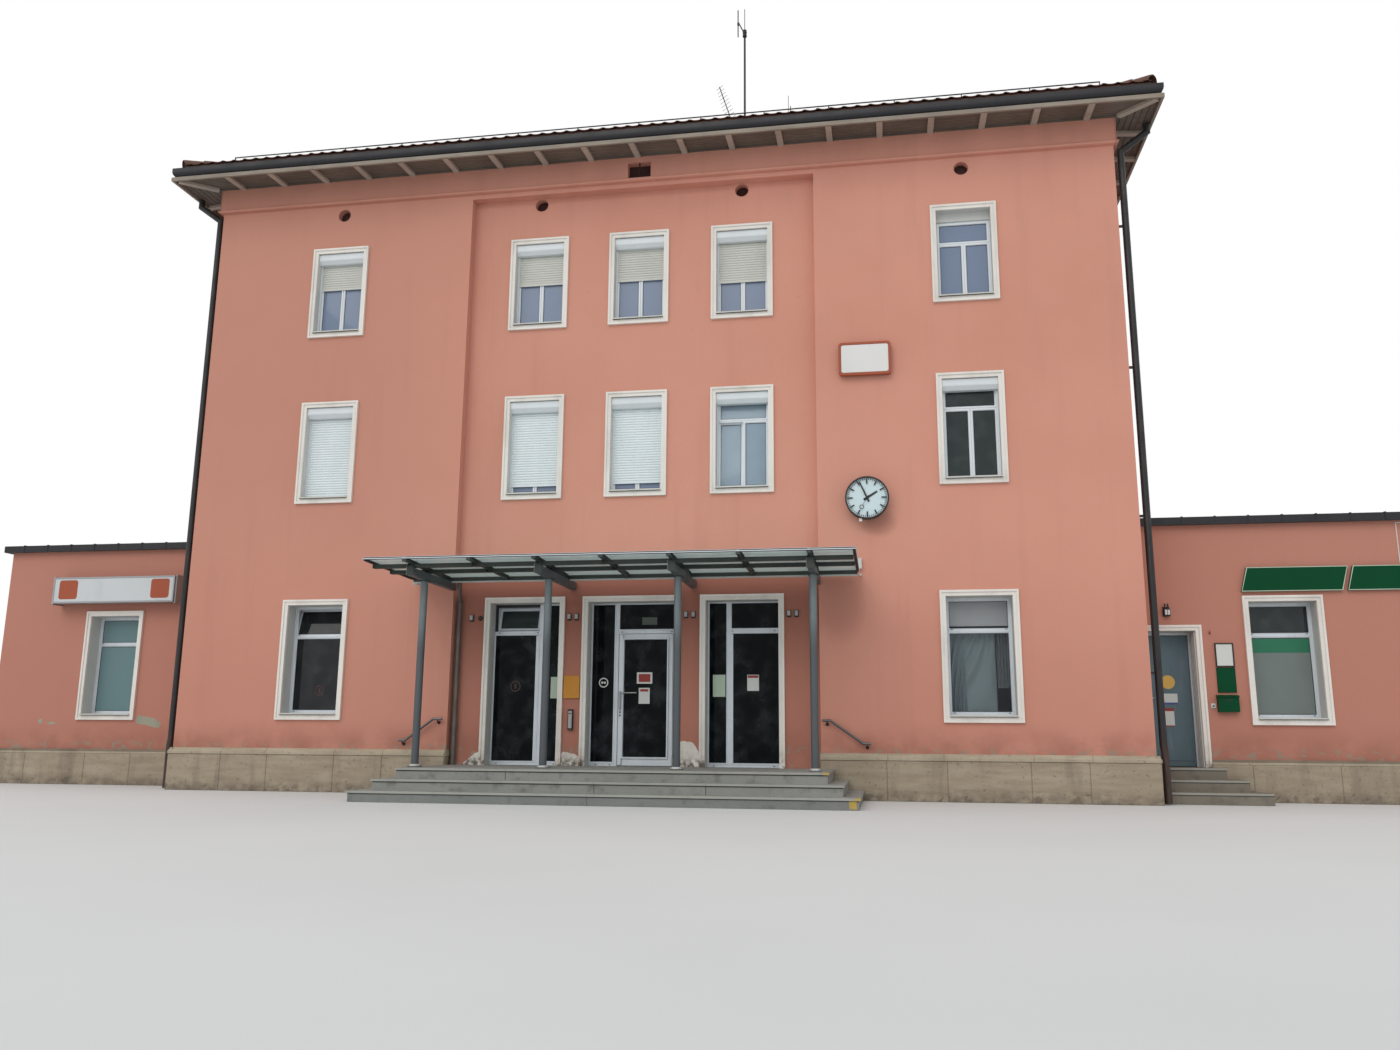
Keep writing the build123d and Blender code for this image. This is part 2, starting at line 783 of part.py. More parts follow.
def snow_guards():
    """Ladder-like guards that stand on the tiles just above the eaves."""
    pieces = []
    base_y = -GUARD_INSET
    surface = roof_under(base_y) + ROOF_THICKNESS
    for side in ("front", "back"):
        place, half = SIDES[side]
        reach = half - GUARD_END
        rails = [
            block(-reach, reach, base_y, base_y + GUARD_BAR, z, z + GUARD_BAR)
            for z in (surface + GUARD_LIFT, surface + GUARD_HEIGHT - GUARD_BAR)
        ]
        bay = (2 * reach - GUARD_BAR) / GUARD_BAYS
        foot = surface + GUARD_FOOT
        tip = surface + GUARD_HEIGHT
        posts = [
            block(x, x + GUARD_BAR, base_y, base_y + GUARD_BAR, foot, tip)
            for x in (-reach + i * bay for i in range(GUARD_BAYS + 1))
        ]
        pieces.append(place * fused(rails + posts))
    save("snow_guards", *pieces)


def elbow_pipe(points, radius):
    """A round pipe along straight runs that meet in mitred elbows."""
    path = Polyline(*points)
    start = Plane(origin=path @ 0, z_dir=path % 0)
    return sweep(start * Circle(radius), path=path, transition=Transition.RIGHT)


def rainwater_pipes():
    pieces = []
    outlet_z = tail_bottom(-EAVE_OUT) + 20
    for sx in (-1, 1):
        near = sx * (HALF_WIDTH + BAND_OUT + PIPE_GAP + PIPE_RADIUS)
        clear = sx * (HALF_WIDTH + PLINTH_REACH + PIPE_GAP + PIPE_RADIUS)
        outlet = sx * (HALF_WIDTH + EAVE_OUT - GUTTER_WIDTH / 2)
        points = [
            (outlet, PIPE_Y, outlet_z - 20),
            (outlet, PIPE_Y, outlet_z - 160),
            (near, PIPE_Y, outlet_z - 480),
            (near, PIPE_Y, PIPE_KINK_Z + 60),
            (clear, PIPE_Y, PIPE_KINK_Z - 60),
            (clear, PIPE_Y, 20),
        ]
        wall_x = sx * (HALF_WIDTH + SEAT_GAP)
        clamps = []
        for z in PIPE_CLAMP_Z:
            top = z + PIPE_CLAMP_HEIGHT
            arm_x = sorted((near, wall_x))
            clamps.append(block(*arm_x, PIPE_Y - PIPE_ARM / 2, PIPE_Y + PIPE_ARM / 2, z, top))
        pieces.append(fused([elbow_pipe(points, PIPE_RADIUS), *clamps]))
    save("rainwater_pipes", *pieces)


# Windows as nodes

def window_nodes():
    front = [w for w, _ in FRONT_UPPER]
    surrounds = [w.surround() for w in front + FRONT_GROUND]
    surrounds += [placed("back", w.surround()) for w in BACK_UPPER + BACK_GROUND]
    for side in ("left", "right"):
        surrounds += [placed(side, w.surround()) for w in SIDE_UPPER]
    surrounds += [place * w.surround() for place, w in WING_WINDOWS]
    save("window_surrounds", *surrounds)

    upper = [("front", w) for w in front]
    upper += [("back", w) for w in BACK_UPPER]
    upper += [(side, w) for side in ("left", "right") for w in SIDE_UPPER]
    save("upper_window_frames", *[placed(side, w.frame()) for side, w in upper])
    save("upper_window_panes", *[placed(side, p) for side, w in upper for p in w.panes()])

    ground = [(Pos(0, 0, 0), w) for w in FRONT_GROUND]
    ground += [(SIDES["back"][0], w) for w in BACK_GROUND]
    ground += WING_WINDOWS
    save("ground_window_frames", *[place * w.frame() for place, w in ground])
    save("ground_window_panes", *[place * p for place, w in ground for p in w.panes()])

    sills = [placed(side, w.sill()) for side, w in upper]
    sills += [place * w.sill() for place, w in ground]
    save("window_sills", *sills)

    boxed = [(w, drop) for w, drop in FRONT_UPPER if drop is not None]
    boxes = [w.shutter_box() for w, _ in boxed]
    boxes += [guide for w, _ in boxed for guide in w.guides()]
    save("shutter_boxes", *boxes)
    save("roller_shutters", *[w.shutter(drop) for w, drop in boxed if drop])


# Entrance doors

DOOR_FACE = RECESS_DEPTH + DOOR_REVEAL


def door_surround(left, right, low, high, face):
    """A cream surround on both sides and across the top of a doorway."""
    outer = block(left - SURROUND, right + SURROUND, face - SURROUND_OUT, face, low, high + SURROUND)
    lip = block(
        left - SURROUND, right + SURROUND, face - SURROUND_LIP_OUT, face, low, high + SURROUND
    )
    inner = block(left, right, face - 100, face + 10, low - 10, high)
    middle = block(
        left - SURROUND + SURROUND_LIP,
        right + SURROUND - SURROUND_LIP,
        face - 100,
        face - SURROUND_OUT,
        low - 10,
        high + SURROUND - SURROUND_LIP,
    )
    return (outer + lip) - inner - middle


def glazed_frame(left, right, face, low, high, lights):
    """A fixed frame plate with its lights cut out, and the panes that fill them."""
    plate = block(left, right, face, face + DOOR_FRAME_DEPTH, low, high)
    holes = [
        block(x0, x1, face - 10, face + DOOR_FRAME_DEPTH + 10, z0, z1)
        for x0, x1, z0, z1 in lights
    ]
    pane_y = face + (DOOR_FRAME_DEPTH - PANE) / 2
    panes = [block(x0, x1, pane_y, pane_y + PANE, z0, z1) for x0, x1, z0, z1 in lights]
    return cut(plate, holes), panes


def hinge_heights(low, high):
    return [low + HINGE_INSET, high - HINGE_INSET - HINGE_HEIGHT]


def fixed_hinges(x, face, out, low, high):
    """Plates on the frame with lower barrels and pins; out is -1 outside, +1 inside."""
    pieces = []
    axis_y = face + out * (BARREL_RADIUS + HINGE_STANDOFF)
    half = HINGE_HEIGHT / 2
    for z in hinge_heights(low, high):
        y0, y1 = sorted((face, face + out * HINGE_PLATE))
        plate = block(x + 3, x + HINGE_PLATE_WIDTH, y0, y1, z, z + HINGE_HEIGHT)
        lower = block(x, x + HINGE_PLATE_WIDTH, y0, y1, z, z + half)
        barrel = tube(x, axis_y, z, z + half, BARREL_RADIUS)
        pin = tube(x, axis_y, z, z + HINGE_HEIGHT - 2, PIN_RADIUS)
        clear = tube(x, axis_y, z + half, z + HINGE_HEIGHT + 1, BARREL_RADIUS + 2)
        pieces.append(fused([plate - clear, lower, barrel, pin]))
    return pieces


def leaf_hinges(x, face, out, low, high):
    """Barrels that ride on the pins, with plates on the leaf."""
    pieces = []
    axis_y = face + out * (BARREL_RADIUS + HINGE_STANDOFF)
    half = HINGE_HEIGHT / 2
    for z in hinge_heights(low, high):
        y0, y1 = sorted((face, face + out * HINGE_PLATE))
        plate = block(x - HINGE_PLATE_WIDTH, x, y0, y1, z + half + HINGE_FIT, z + HINGE_HEIGHT)
        barrel = tube(x, axis_y, z + half + HINGE_FIT, z + HINGE_HEIGHT, BARREL_RADIUS)
        bore = tube(
            x, axis_y, z + half - 5, z + HINGE_HEIGHT + 5, PIN_RADIUS + HINGE_FIT
        )
        pieces.append(plate + barrel - bore)
    return pieces


def entrance():
    low = LANDING_TOP
    high = DOOR_TOP
    bar = DOOR_FRAME / 2
    openings = (DOOR_LEFT, DOOR_MIDDLE, DOOR_RIGHT)
    save(
        "door_surrounds",
        *[door_surround(x0, x1, low, high, RECESS_DEPTH) for x0, x1 in openings],
        door_surround(*WING_DOOR, WING_FLOOR, WING_DOOR_TOP, WING_SETBACK),
    )

    glass_low = low + 90
    glass_high = high - DOOR_FRAME
    frames = []
    panes = []

    # Left: a wide pane under a vent light, then a narrow pane on the right
    left, right = DOOR_LEFT
    post = right - DOOR_FRAME - SIDE_PANE_LEFT - DOOR_FRAME
    lights = [
        (left + DOOR_FRAME, post, glass_low, TRANSOM_Z - bar),
        (left + DOOR_FRAME, post, TRANSOM_Z + bar, glass_high),
        (post + DOOR_FRAME, right - DOOR_FRAME, glass_low, glass_high),
    ]
    frame, glass = glazed_frame(left, right, DOOR_FACE, low, high, lights)
    frames.append(frame)
    panes += glass

    # Right: the same, mirrored
    left, right = DOOR_RIGHT
    post = left + DOOR_FRAME + SIDE_PANE_RIGHT
    lights = [
        (left + DOOR_FRAME, post, glass_low, glass_high),
        (post + DOOR_FRAME, right - DOOR_FRAME, glass_low, TRANSOM_Z - bar),
        (post + DOOR_FRAME, right - DOOR_FRAME, TRANSOM_Z + bar, glass_high),
    ]
    frame, glass = glazed_frame(left, right, DOOR_FACE, low, high, lights)
    frames.append(frame)
    panes += glass

    # Middle: a tall sidelight and a doorway under a fixed light
    left, right = DOOR_MIDDLE
    post = left + DOOR_FRAME + SIDELIGHT
    way_left = post + DOOR_FRAME
    way_right = right - DOOR_FRAME
    head = TRANSOM_Z - bar
    tall = [(left + DOOR_FRAME, post, glass_low, glass_high)]
    over = [(way_left, way_right, TRANSOM_Z + bar, glass_high)]
    frame, glass = glazed_frame(left, way_left, DOOR_FACE, low, high, tall)
    frames.append(frame)
    panes += glass
    frame, glass = glazed_frame(way_left, right, DOOR_FACE, head, high, over)
    frames.append(frame)
    panes += glass
    hinges = fixed_hinges(way_right, DOOR_FACE, -1, low, head)
    jamb = block(way_right, right, DOOR_FACE, DOOR_FACE + DOOR_FRAME_DEPTH, low, head)
    frames.append(fused([jamb, *hinges]))
    save("entrance_frames", *frames)
    save("entrance_panes", *panes)

    leaf_x0 = way_left + LEAF_GAP
    leaf_x1 = way_right - LEAF_GAP
    leaf_z0 = low + LEAF_CENTRE_GAP
    leaf_z1 = head - LEAF_GAP
    leaf = block(leaf_x0, leaf_x1, DOOR_FACE, DOOR_FACE + LEAF_THICKNESS, leaf_z0, leaf_z1)
    light = (
        leaf_x0 + LEAF_STILE,
        leaf_x1 - LEAF_STILE,
        leaf_z0 + LEAF_RAIL,
        leaf_z1 - LEAF_STILE,
    )
    hole = block(light[0], light[1], DOOR_FACE - 10, DOOR_FACE + 200, light[2], light[3])
    barrels = leaf_hinges(way_right, DOOR_FACE, -1, low, head)
    save("entrance_door_leaf", fused([leaf - hole, *barrels]))
    glass_y = DOOR_FACE + (LEAF_THICKNESS - PANE) / 2
    save(
        "entrance_door_pane",
        block(light[0], light[1], glass_y, glass_y + PANE, light[2], light[3]),
    )
    grip_x = leaf_x0 + LEAF_STILE / 2
    grip_y = DOOR_FACE - GRIP_OUT
    grip_low = low + GRIP_HEIGHT - GRIP_HALF
    grip_high = low + GRIP_HEIGHT + GRIP_HALF
    handle = [
        tube(grip_x, grip_y, grip_low, grip_high, GRIP_RADIUS),
        block(grip_x - 10, grip_x + 10, grip_y, DOOR_FACE, grip_low + 30, grip_low + 50),
        block(grip_x - 10, grip_x + 10, grip_y, DOOR_FACE, grip_high - 50, grip_high - 30),
    ]
    save("entrance_door_handle", fused(handle))


# Entrance steps

def steps():
    """Three broad stone slabs, each one nosed over the riser below it."""
    rise = LANDING_TOP / 3
    treads = []
    for i in range(3):
        below = 2 - i
        half = LANDING_HALF + below * SIDE_GOING
        front = LANDING_FRONT - below * GOING
        low = i * rise
        high = low + rise
        x0 = STEP_CENTRE - half
        x1 = STEP_CENTRE + half
        back = -PLINTH_REACH
        body = block(
            x0 + NOSING_OUT, x1 - NOSING_OUT, front + NOSING_OUT, back, low, high - NOSING
        )
        tread = block(x0, x1, front, back, high - NOSING, high)
        treads.append(body + tread)
    inner = block(RECESS_LEFT, RECESS_RIGHT, back, RECESS_DEPTH, 0, LANDING_TOP)
    save("entrance_steps", *treads[:2])
    save("landing", treads[2] + inner)


# Canopy

def canopy_top(y):
    """Height of the glass's upper face, which falls towards the wall."""
    return CANOPY_FRONT_Z - (y - CANOPY_FRONT) * math.tan(math.radians(CANOPY_FALL))


def canopy_profile(y0, y1, below, depth):
    return [
        (y0, canopy_top(y0) - below),
        (y1, canopy_top(y1) - below),
        (y1, canopy_top(y1) - below - depth),
        (y0, canopy_top(y0) - below - depth),
    ]


def canopy():
    columns = [
        tube(
            x,
            COLUMN_Y,
            LANDING_TOP + BASE_PLATE_THICKNESS,
            BEAM_BOTTOM,
            COLUMN_RADIUS,
            COLUMN_RADIUS - COLUMN_WALL,
        )
        for x in COLUMN_X
    ]
    half = BASE_PLATE / 2
    plates = [
        block(
            x - half,
            x + half,
            COLUMN_Y - half,
            COLUMN_Y + half,
            LANDING_TOP,
            LANDING_TOP + BASE_PLATE_THICKNESS,
        )
        for x in COLUMN_X
    ]
    save("canopy_columns", *[plate + column for plate, column in zip(plates, columns)])

    beam_top = PURLIN_TOP - PURLIN_DEPTH
    beams = []
    for x in COLUMN_X:
        outer = abs(x) > abs(RECESS_LEFT) - BEAM_WIDTH
        wall_y = 0 if outer else RECESS_DEPTH
        profile = [
            (BEAM_FRONT, beam_top),
            (wall_y, beam_top),
            (wall_y, BEAM_BOTTOM),
            (COLUMN_Y - 120, BEAM_BOTTOM),
            (BEAM_FRONT, BEAM_BOTTOM + BEAM_NOSE),
        ]
        beams.append(along_x(profile, x - BEAM_WIDTH / 2, x + BEAM_WIDTH / 2))
    save("canopy_beams", *beams)

    purlins = [
        block(
            PURLIN_END - CANOPY_HALF,
            CANOPY_HALF - PURLIN_END,
            y,
            y + PURLIN_WIDTH,
            beam_top,
            PURLIN_TOP,
        )
        for y in PURLIN_Y
    ]
    bay = (COLUMN_X[1] - COLUMN_X[0]) / 2
    joints = [COLUMN_X[0] + i * bay for i in range(7)]
    bar_depth = canopy_top(PURLIN_Y[0]) - CANOPY_GLASS - PURLIN_TOP + BAR_SEAT
    bars = [
        along_x(
            canopy_profile(BAR_FRONT, BAR_REAR, CANOPY_GLASS, bar_depth),
            x - BAR_WIDTH / 2,
            x + BAR_WIDTH / 2,
        )
        for x in joints
    ]
    save("canopy_grid", fused(purlins + bars))

    edges = [-CANOPY_HALF, *joints, CANOPY_HALF]
    sheets = []
    for i in range(len(edges) - 1):
        x0 = edges[i] + (5 if i else 0)
        x1 = edges[i + 1] - (5 if i < len(edges) - 2 else 0)
        sheets.append(
            along_x(canopy_profile(CANOPY_FRONT, CANOPY_REAR, 0, CANOPY_GLASS), x0, x1)
        )
    save("canopy_glass", *sheets)


def canopy_drain():
    """A box gutter under the rear edge of the glass, and its pipe down to the landing."""
    y0 = CANOPY_REAR - CANOPY_GUTTER
    y1 = CANOPY_REAR
    top = canopy_top(y1) - CANOPY_GLASS
    reach = CANOPY_HALF - CANOPY_TROUGH_END
    bottom = PURLIN_TOP - PURLIN_DEPTH
    trough = block(-reach, reach, y0, y1, bottom, top)
    wall = CANOPY_TROUGH_WALL
    inside = block(-reach + wall, reach - wall, y0 + wall, y1 - wall, bottom + wall, top + 10)
    gutter = cut(trough, [inside])
    points = [
        (CANOPY_PIPE_X + CANOPY_PIPE_SHIFT, y0 + CANOPY_GUTTER / 2, bottom),
        (CANOPY_PIPE_X + CANOPY_PIPE_SHIFT, y0 + CANOPY_GUTTER / 2, bottom - 110),
        (CANOPY_PIPE_X, CANOPY_PIPE_Y, bottom - 310),
        (CANOPY_PIPE_X, CANOPY_PIPE_Y, LANDING_TOP),
    ]
    save("canopy_drain", gutter, elbow_pipe(points, CANOPY_PIPE_RADIUS))


def handrails():
    pieces = []
    y = -RAIL_OUT
    for points, feet in (
        (
            [(-3105, RAIL_HIGH), (-3258, RAIL_HIGH), (-3730, RAIL_LOW), (-3840, RAIL_LOW)],
            (-3190, -3785),
        ),
        (
            [(3085, RAIL_HIGH), (3216, RAIL_HIGH), (3715, RAIL_LOW), (3826, RAIL_LOW)],
            (3165, 3770),
        ),
    ):
        rail = elbow_pipe([(x, y, z) for x, z in points], RAIL_RADIUS)
        stands = []
        for x in feet:
            z = RAIL_HIGH if abs(x) < 3500 else RAIL_LOW
            stand = Pos(x, y, z - 10) * Rot(-90, 0, 0) * extrude(Circle(9), RAIL_OUT)
            stands.append(stand - rail)
        pieces += [rail, *stands]
    save("handrails", *pieces)


# Station sign and clock

def station_sign():
    x0, x1, z0, z1 = SIGN
    middle = Plane.XZ.offset(SIGN_OUT) * Pos((x0 + x1) / 2, (z0 + z1) / 2)
    board = extrude(middle * RectangleRounded(x1 - x0, z1 - z0, 60), SIGN_THICKNESS)
    pads = [
        block(x - 40, x + 40, -SIGN_OUT, 0, z0 + 100, z1 - 100) for x in (x0 + 200, x1 - 200)
    ]
    save("station_sign", fused([board, *pads]))


def disc(radius, y0, y1, inner=0.0):
    """A round plate on the clock's axis between two depths."""
    section = Circle(radius) - Circle(inner) if inner else Circle(radius)
    return Pos(CLOCK_X, y0, CLOCK_Z) * Rot(-90, 0, 0) * extrude(section, y1 - y0)


def hand(length, tail, width, y0, y1, turn, bore):
    """A tapered hand that points up before it is turned clockwise."""
    blade = make_face(
        Polyline(
            (-width / 2, -tail),
            (width / 2, -tail),
            (width / 3, length),
            (-width / 3, length),
            close=True,
        )
    )
    section = blade + Circle(22) - Circle(bore)
    flat = Plane.XZ * (Rot(0, 0, -turn) * section)
    return Pos(CLOCK_X, y1, CLOCK_Z) * extrude(flat, y1 - y0)


def clock():
    front = -CLOCK_OUT - CLOCK_CASE
    dial_y = front + DIAL_INSET
    case = disc(CLOCK_RADIUS, front, -CLOCK_OUT)
    well = disc(CLOCK_RADIUS - CLOCK_RIM, front - 10, dial_y + 6)
    arms = [
        block(CLOCK_X + x - 20, CLOCK_X + x + 20, -CLOCK_OUT - 10, 0, CLOCK_Z - 90, CLOCK_Z + 90)
        for x in (-120, 120)
    ]
    plate = block(CLOCK_X - 150, CLOCK_X + 150, -12, 0, CLOCK_Z - 120, CLOCK_Z + 120)
    save("clock_case", fused([case - well, *arms, plate]))
    dial = disc(CLOCK_RADIUS - CLOCK_RIM, dial_y, dial_y + 6)
    spindle_front = dial_y - 2 * HAND_GAP - 2 * HAND_THICKNESS - 2
    spindle = disc(SPINDLE_RADIUS, spindle_front, dial_y)
    save("clock_dial", dial + spindle)
    bore = SPINDLE_RADIUS + HINGE_FIT
    hour, minute = CLOCK_TIME
    hour_y = dial_y - HAND_GAP
    minute_y = hour_y - HAND_THICKNESS - HAND_GAP
    hour_turn = 30 * (hour + minute / 60)
    save(
        "clock_hour_hand",
        hand(HOUR_HAND, 60, 40, hour_y - HAND_THICKNESS, hour_y, hour_turn, bore),
    )
    save(
        "clock_minute_hand",
        hand(MINUTE_HAND, 70, 30, minute_y - HAND_THICKNESS, minute_y, 6 * minute, bore),
    )


# Wings

def wing_box(x0, x1, y0, y1, z0=WING_PLINTH_TOP, z1=WING_TOP):
    return block(x0, x1, y0, y1, z0, z1)


def wing_shell(name, inner_x, outer_x, doorway=None):
    """Front, end and back walls of a wing; the main block closes its fourth side."""
    x0, x1 = sorted((inner_x, outer_x))
    end_in = outer_x + WING_WALL if outer_x < 0 else outer_x - WING_WALL
    end = wing_box(
        *sorted((outer_x, end_in)), WING_SETBACK + WING_WALL, WING_BACK - WING_WALL
    )
    back = wing_box(x0, x1, WING_BACK - WING_WALL, WING_BACK)
    front_y = (WING_SETBACK, WING_SETBACK + WING_WALL)
    if doorway:
        left, right = doorway
        fronts = [
            wing_box(x0, left, *front_y),
            wing_box(left, right, *front_y, z0=WING_DOOR_TOP),
            wing_box(right, x1, *front_y),
        ]
    else:
        fronts = [wing_box(x0, x1, *front_y)]
    holes = [place * w.hole(WING_WALL) for place, w in WING_WINDOWS]
    holes.append(block_plinth())
    save(name, *[cut(piece, holes) for piece in (*fronts, end, back)])


def block_plinth():
    """The space that the main block and its plinth take up beside the wings."""
    reach = HALF_WIDTH + PLINTH_REACH
    return block(-reach, reach, -100, BLOCK_DEPTH + 100, -10, PLINTH_TOP)


def wing_base(inner_x, outer_x, doorway=None):
    """Sandstone plinths under the wing walls."""
    out = PLINTH_OUT
    x0, x1 = sorted((inner_x, outer_x))
    low, high = 0, WING_PLINTH_TOP
    outside = sorted((outer_x - out, outer_x + WING_WALL))
    if outer_x > 0:
        outside = sorted((outer_x - WING_WALL, outer_x + out))
    end_edge = outer_x - out if outer_x < 0 else outer_x + out
    run_x = sorted((inner_x, end_edge))
    front = block(*run_x, WING_SETBACK - out, WING_SETBACK + WING_WALL, low, high)
    back = block(*run_x, WING_BACK - WING_WALL, WING_BACK + out, low, high)
    end = block(*outside, WING_SETBACK + WING_WALL, WING_BACK - WING_WALL, low, high)
    pieces = [front, back, end]
    if doorway:
        left, right = doorway
        inside = WING_SETBACK + WING_WALL + 10
        gap = block(left, right, WING_SETBACK - 10, inside, WING_FLOOR, high + 10)
        trim = block(
            left - SURROUND,
            right + SURROUND,
            WING_SETBACK - 500,
            WING_SETBACK,
            WING_FLOOR,
            high + 10,
        )
        pieces = [front - gap - trim, back, end]
    return pieces


def wing_roof(inner_x, outer_x):
    """A flat roof deck that reaches a little past the walls."""
    out = WING_ROOF_OUT
    end_edge = outer_x - out if outer_x < 0 else outer_x + out
    x0, x1 = sorted((inner_x, end_edge))
    return block(
        x0, x1, WING_SETBACK - out, WING_BACK + out, WING_TOP, WING_TOP + WING_ROOF
    )


def wing_roof_edge(inner_x, outer_x):
    """A folded metal strip around the three free edges of the deck."""
    out = WING_ROOF_OUT + WING_EDGE_SKIN
    end_edge = outer_x - out if outer_x < 0 else outer_x + out
    x0, x1 = sorted((inner_x, end_edge))
    y0 = WING_SETBACK - out
    y1 = WING_BACK + out
    low = WING_TOP - WING_EDGE_DROP
    strip = block(x0, x1, y0, y1, low, WING_TOP + WING_ROOF + WING_EDGE_RISE)
    skin_x0 = x0 - 10 if inner_x < outer_x else x0 + WING_EDGE_SKIN
    skin_x1 = x1 + 10 if inner_x > outer_x else x1 - WING_EDGE_SKIN
    inside = block(
        skin_x0, skin_x1, y0 + WING_EDGE_SKIN, y1 - WING_EDGE_SKIN, low - 10, WING_TOP + 400
    )
    return strip - inside


def wing_floor(inner_x, outer_x):
    end_in = outer_x + WING_WALL if outer_x < 0 else outer_x - WING_WALL
    x0, x1 = sorted((inner_x, end_in))
    return block(
        x0,
        x1,
        WING_SETBACK + WING_WALL,
        WING_BACK - WING_WALL,
        WING_FLOOR - SLAB,
        WING_FLOOR,
    )


def wings():
    wing_shell("left_wing_walls", -HALF_WIDTH, LEFT_WING_END)
    wing_shell("right_wing_walls", HALF_WIDTH, RIGHT_WING_END, WING_DOOR)
    sides = ((-HALF_WIDTH, LEFT_WING_END), (HALF_WIDTH, RIGHT_WING_END))
    bases = wing_base(*sides[0]) + wing_base(*sides[1], doorway=WING_DOOR)
    save("wing_plinths", *[piece - block_plinth() for piece in bases])
    save("wing_roofs", *[wing_roof(*side) for side in sides])
    save("wing_roof_edges", *[wing_roof_edge(*side) for side in sides])
    save("wing_floors", *[wing_floor(*side) - block_plinth() for side in sides])


def wing_door():
    left, right = WING_DOOR
    face = WING_SETBACK + WING_DOOR_REVEAL
    depth = FRAME_DEPTH
    low, high = WING_FLOOR, WING_DOOR_TOP
    post = 45
    inner_face = face + depth
    head = block(left, right, face, inner_face, high - post, high)
    free_jamb = block(left, left + post, face, inner_face, low, high - post)
    hung_jamb = block(right - post, right, face, inner_face, low, high - post)
    hinges = fixed_hinges(right - post, inner_face, 1, low, high - post)
    save("wing_door_frame", head, free_jamb, fused([hung_jamb, *hinges]))
    leaf = block(
        left + post + LEAF_GAP,
        right - post - LEAF_GAP,
        inner_face - LEAF_THICKNESS,
        inner_face,
        low + LEAF_CENTRE_GAP,
        high - post - LEAF_GAP,
    )
    barrels = leaf_hinges(right - post, inner_face, 1, low, high - post)
    save("wing_door_leaf", fused([leaf, *barrels]))


def wing_steps():
    pieces = []
    rise = WING_FLOOR / 3
    x0 = HALF_WIDTH + PLINTH_REACH
    back = WING_SETBACK - PLINTH_OUT
    for i, x1 in enumerate(WING_STEP_ENDS):
        front = back - (3 - i) * WING_STEP_GOING
        step = block(x0, x1, front, back, i * rise, (i + 1) * rise)
        pieces.append(step)
    save("wing_steps", *pieces)


def wing_signs():
    x0, x1, z0, z1 = FOOD_SIGN
    y1 = WING_SETBACK - FOOD_SIGN_OUT
    y0 = y1 - FOOD_SIGN_THICKNESS
    box = block(x0, x1, y0, y1, z0, z1)
    arms = [
        block(x, x + 30, y0 + 20, WING_SETBACK, z0 - 20, z1 + 20) for x in (x0 - 30, x1)
    ]
    save("light_box_sign", fused([box, *arms]))
    boards = []
    low, high = OFFICE_SIGN_Z
    for i in range(2):
        x0 = OFFICE_SIGN_START + i * OFFICE_SIGN_PITCH
        x1 = x0 + OFFICE_SIGN_WIDTH
        outline = make_face(
            Polyline(
                (x0, low),
                (x1 - OFFICE_SIGN_SLANT, low),
                (x1, high),
                (x0 + OFFICE_SIGN_SLANT, high),
                close=True,
            )
        )
        plane = Plane.XZ.offset(OFFICE_SIGN_OUT - WING_SETBACK)
        board = extrude(plane * outline, OFFICE_SIGN_THICKNESS)
        pads = [
            block(
                x - 20,
                x + 20,
                WING_SETBACK - OFFICE_SIGN_OUT,
                WING_SETBACK,
                low + 80,
                high - 80,
            )
            for x in (x0 + 300, x1 - 300)
        ]
        boards.append(fused([board, *pads]))
    save("office_signs", *boards)


def aerial():
    """A mast that stands on the ridge, with a thin head."""
    foot = roof_under(MID_DEPTH) + ROOF_THICKNESS - ridge_sink() + RIDGE_TILE_RADIUS
    mast = tube(MAST_X, MID_DEPTH, foot + 0.5, MAST_TOP, MAST_RADIUS)
    head = tube(MAST_X, MID_DEPTH, MAST_TOP, MAST_TOP + MAST_HEAD, MAST_HEAD_RADIUS)
    save("aerial_mast", mast + head)


walls()
plinth()
band()
floors()
roof()
eaves()
gutters()
snow_guards()
rainwater_pipes()
window_nodes()
entrance()
steps()
canopy()
canopy_drain()
handrails()
station_sign()
clock()
wings()
wing_door()
wing_steps()
wing_signs()
aerial()
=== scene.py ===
import json
import math
import random
import bpy
import bmesh
from mathutils import Matrix, Vector, noise


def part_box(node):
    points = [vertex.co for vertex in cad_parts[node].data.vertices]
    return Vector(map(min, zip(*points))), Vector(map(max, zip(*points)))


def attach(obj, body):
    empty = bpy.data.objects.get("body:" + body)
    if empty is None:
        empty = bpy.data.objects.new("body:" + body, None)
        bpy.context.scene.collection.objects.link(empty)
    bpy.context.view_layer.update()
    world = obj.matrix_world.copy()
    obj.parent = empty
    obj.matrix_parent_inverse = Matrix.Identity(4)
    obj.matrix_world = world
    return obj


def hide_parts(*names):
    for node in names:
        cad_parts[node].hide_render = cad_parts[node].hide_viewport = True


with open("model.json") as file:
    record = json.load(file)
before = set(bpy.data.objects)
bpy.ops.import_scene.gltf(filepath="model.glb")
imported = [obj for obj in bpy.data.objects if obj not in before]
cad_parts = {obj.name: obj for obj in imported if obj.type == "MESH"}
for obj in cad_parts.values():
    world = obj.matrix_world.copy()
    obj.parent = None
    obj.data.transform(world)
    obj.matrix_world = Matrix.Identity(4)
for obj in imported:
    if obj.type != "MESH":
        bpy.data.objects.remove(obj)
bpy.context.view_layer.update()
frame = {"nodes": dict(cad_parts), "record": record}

# Sizes are in metres, in the model's own frame, and repeat the solids' sizes.
HALF = 7.97
DEPTH = 11.0
MIDDLE = DEPTH / 2
RECESS = (-3.05, 3.06)
RECESS_Y = 0.18
DOOR_Y = 0.43
DOOR_TOP = 3.12
DOORWAYS = ((-2.45, -1.24), (-0.755, 0.696), (1.213, 2.40))
LANDING = 0.46
EAVE_OUT = 0.672
RISE = math.tan(math.radians(22))
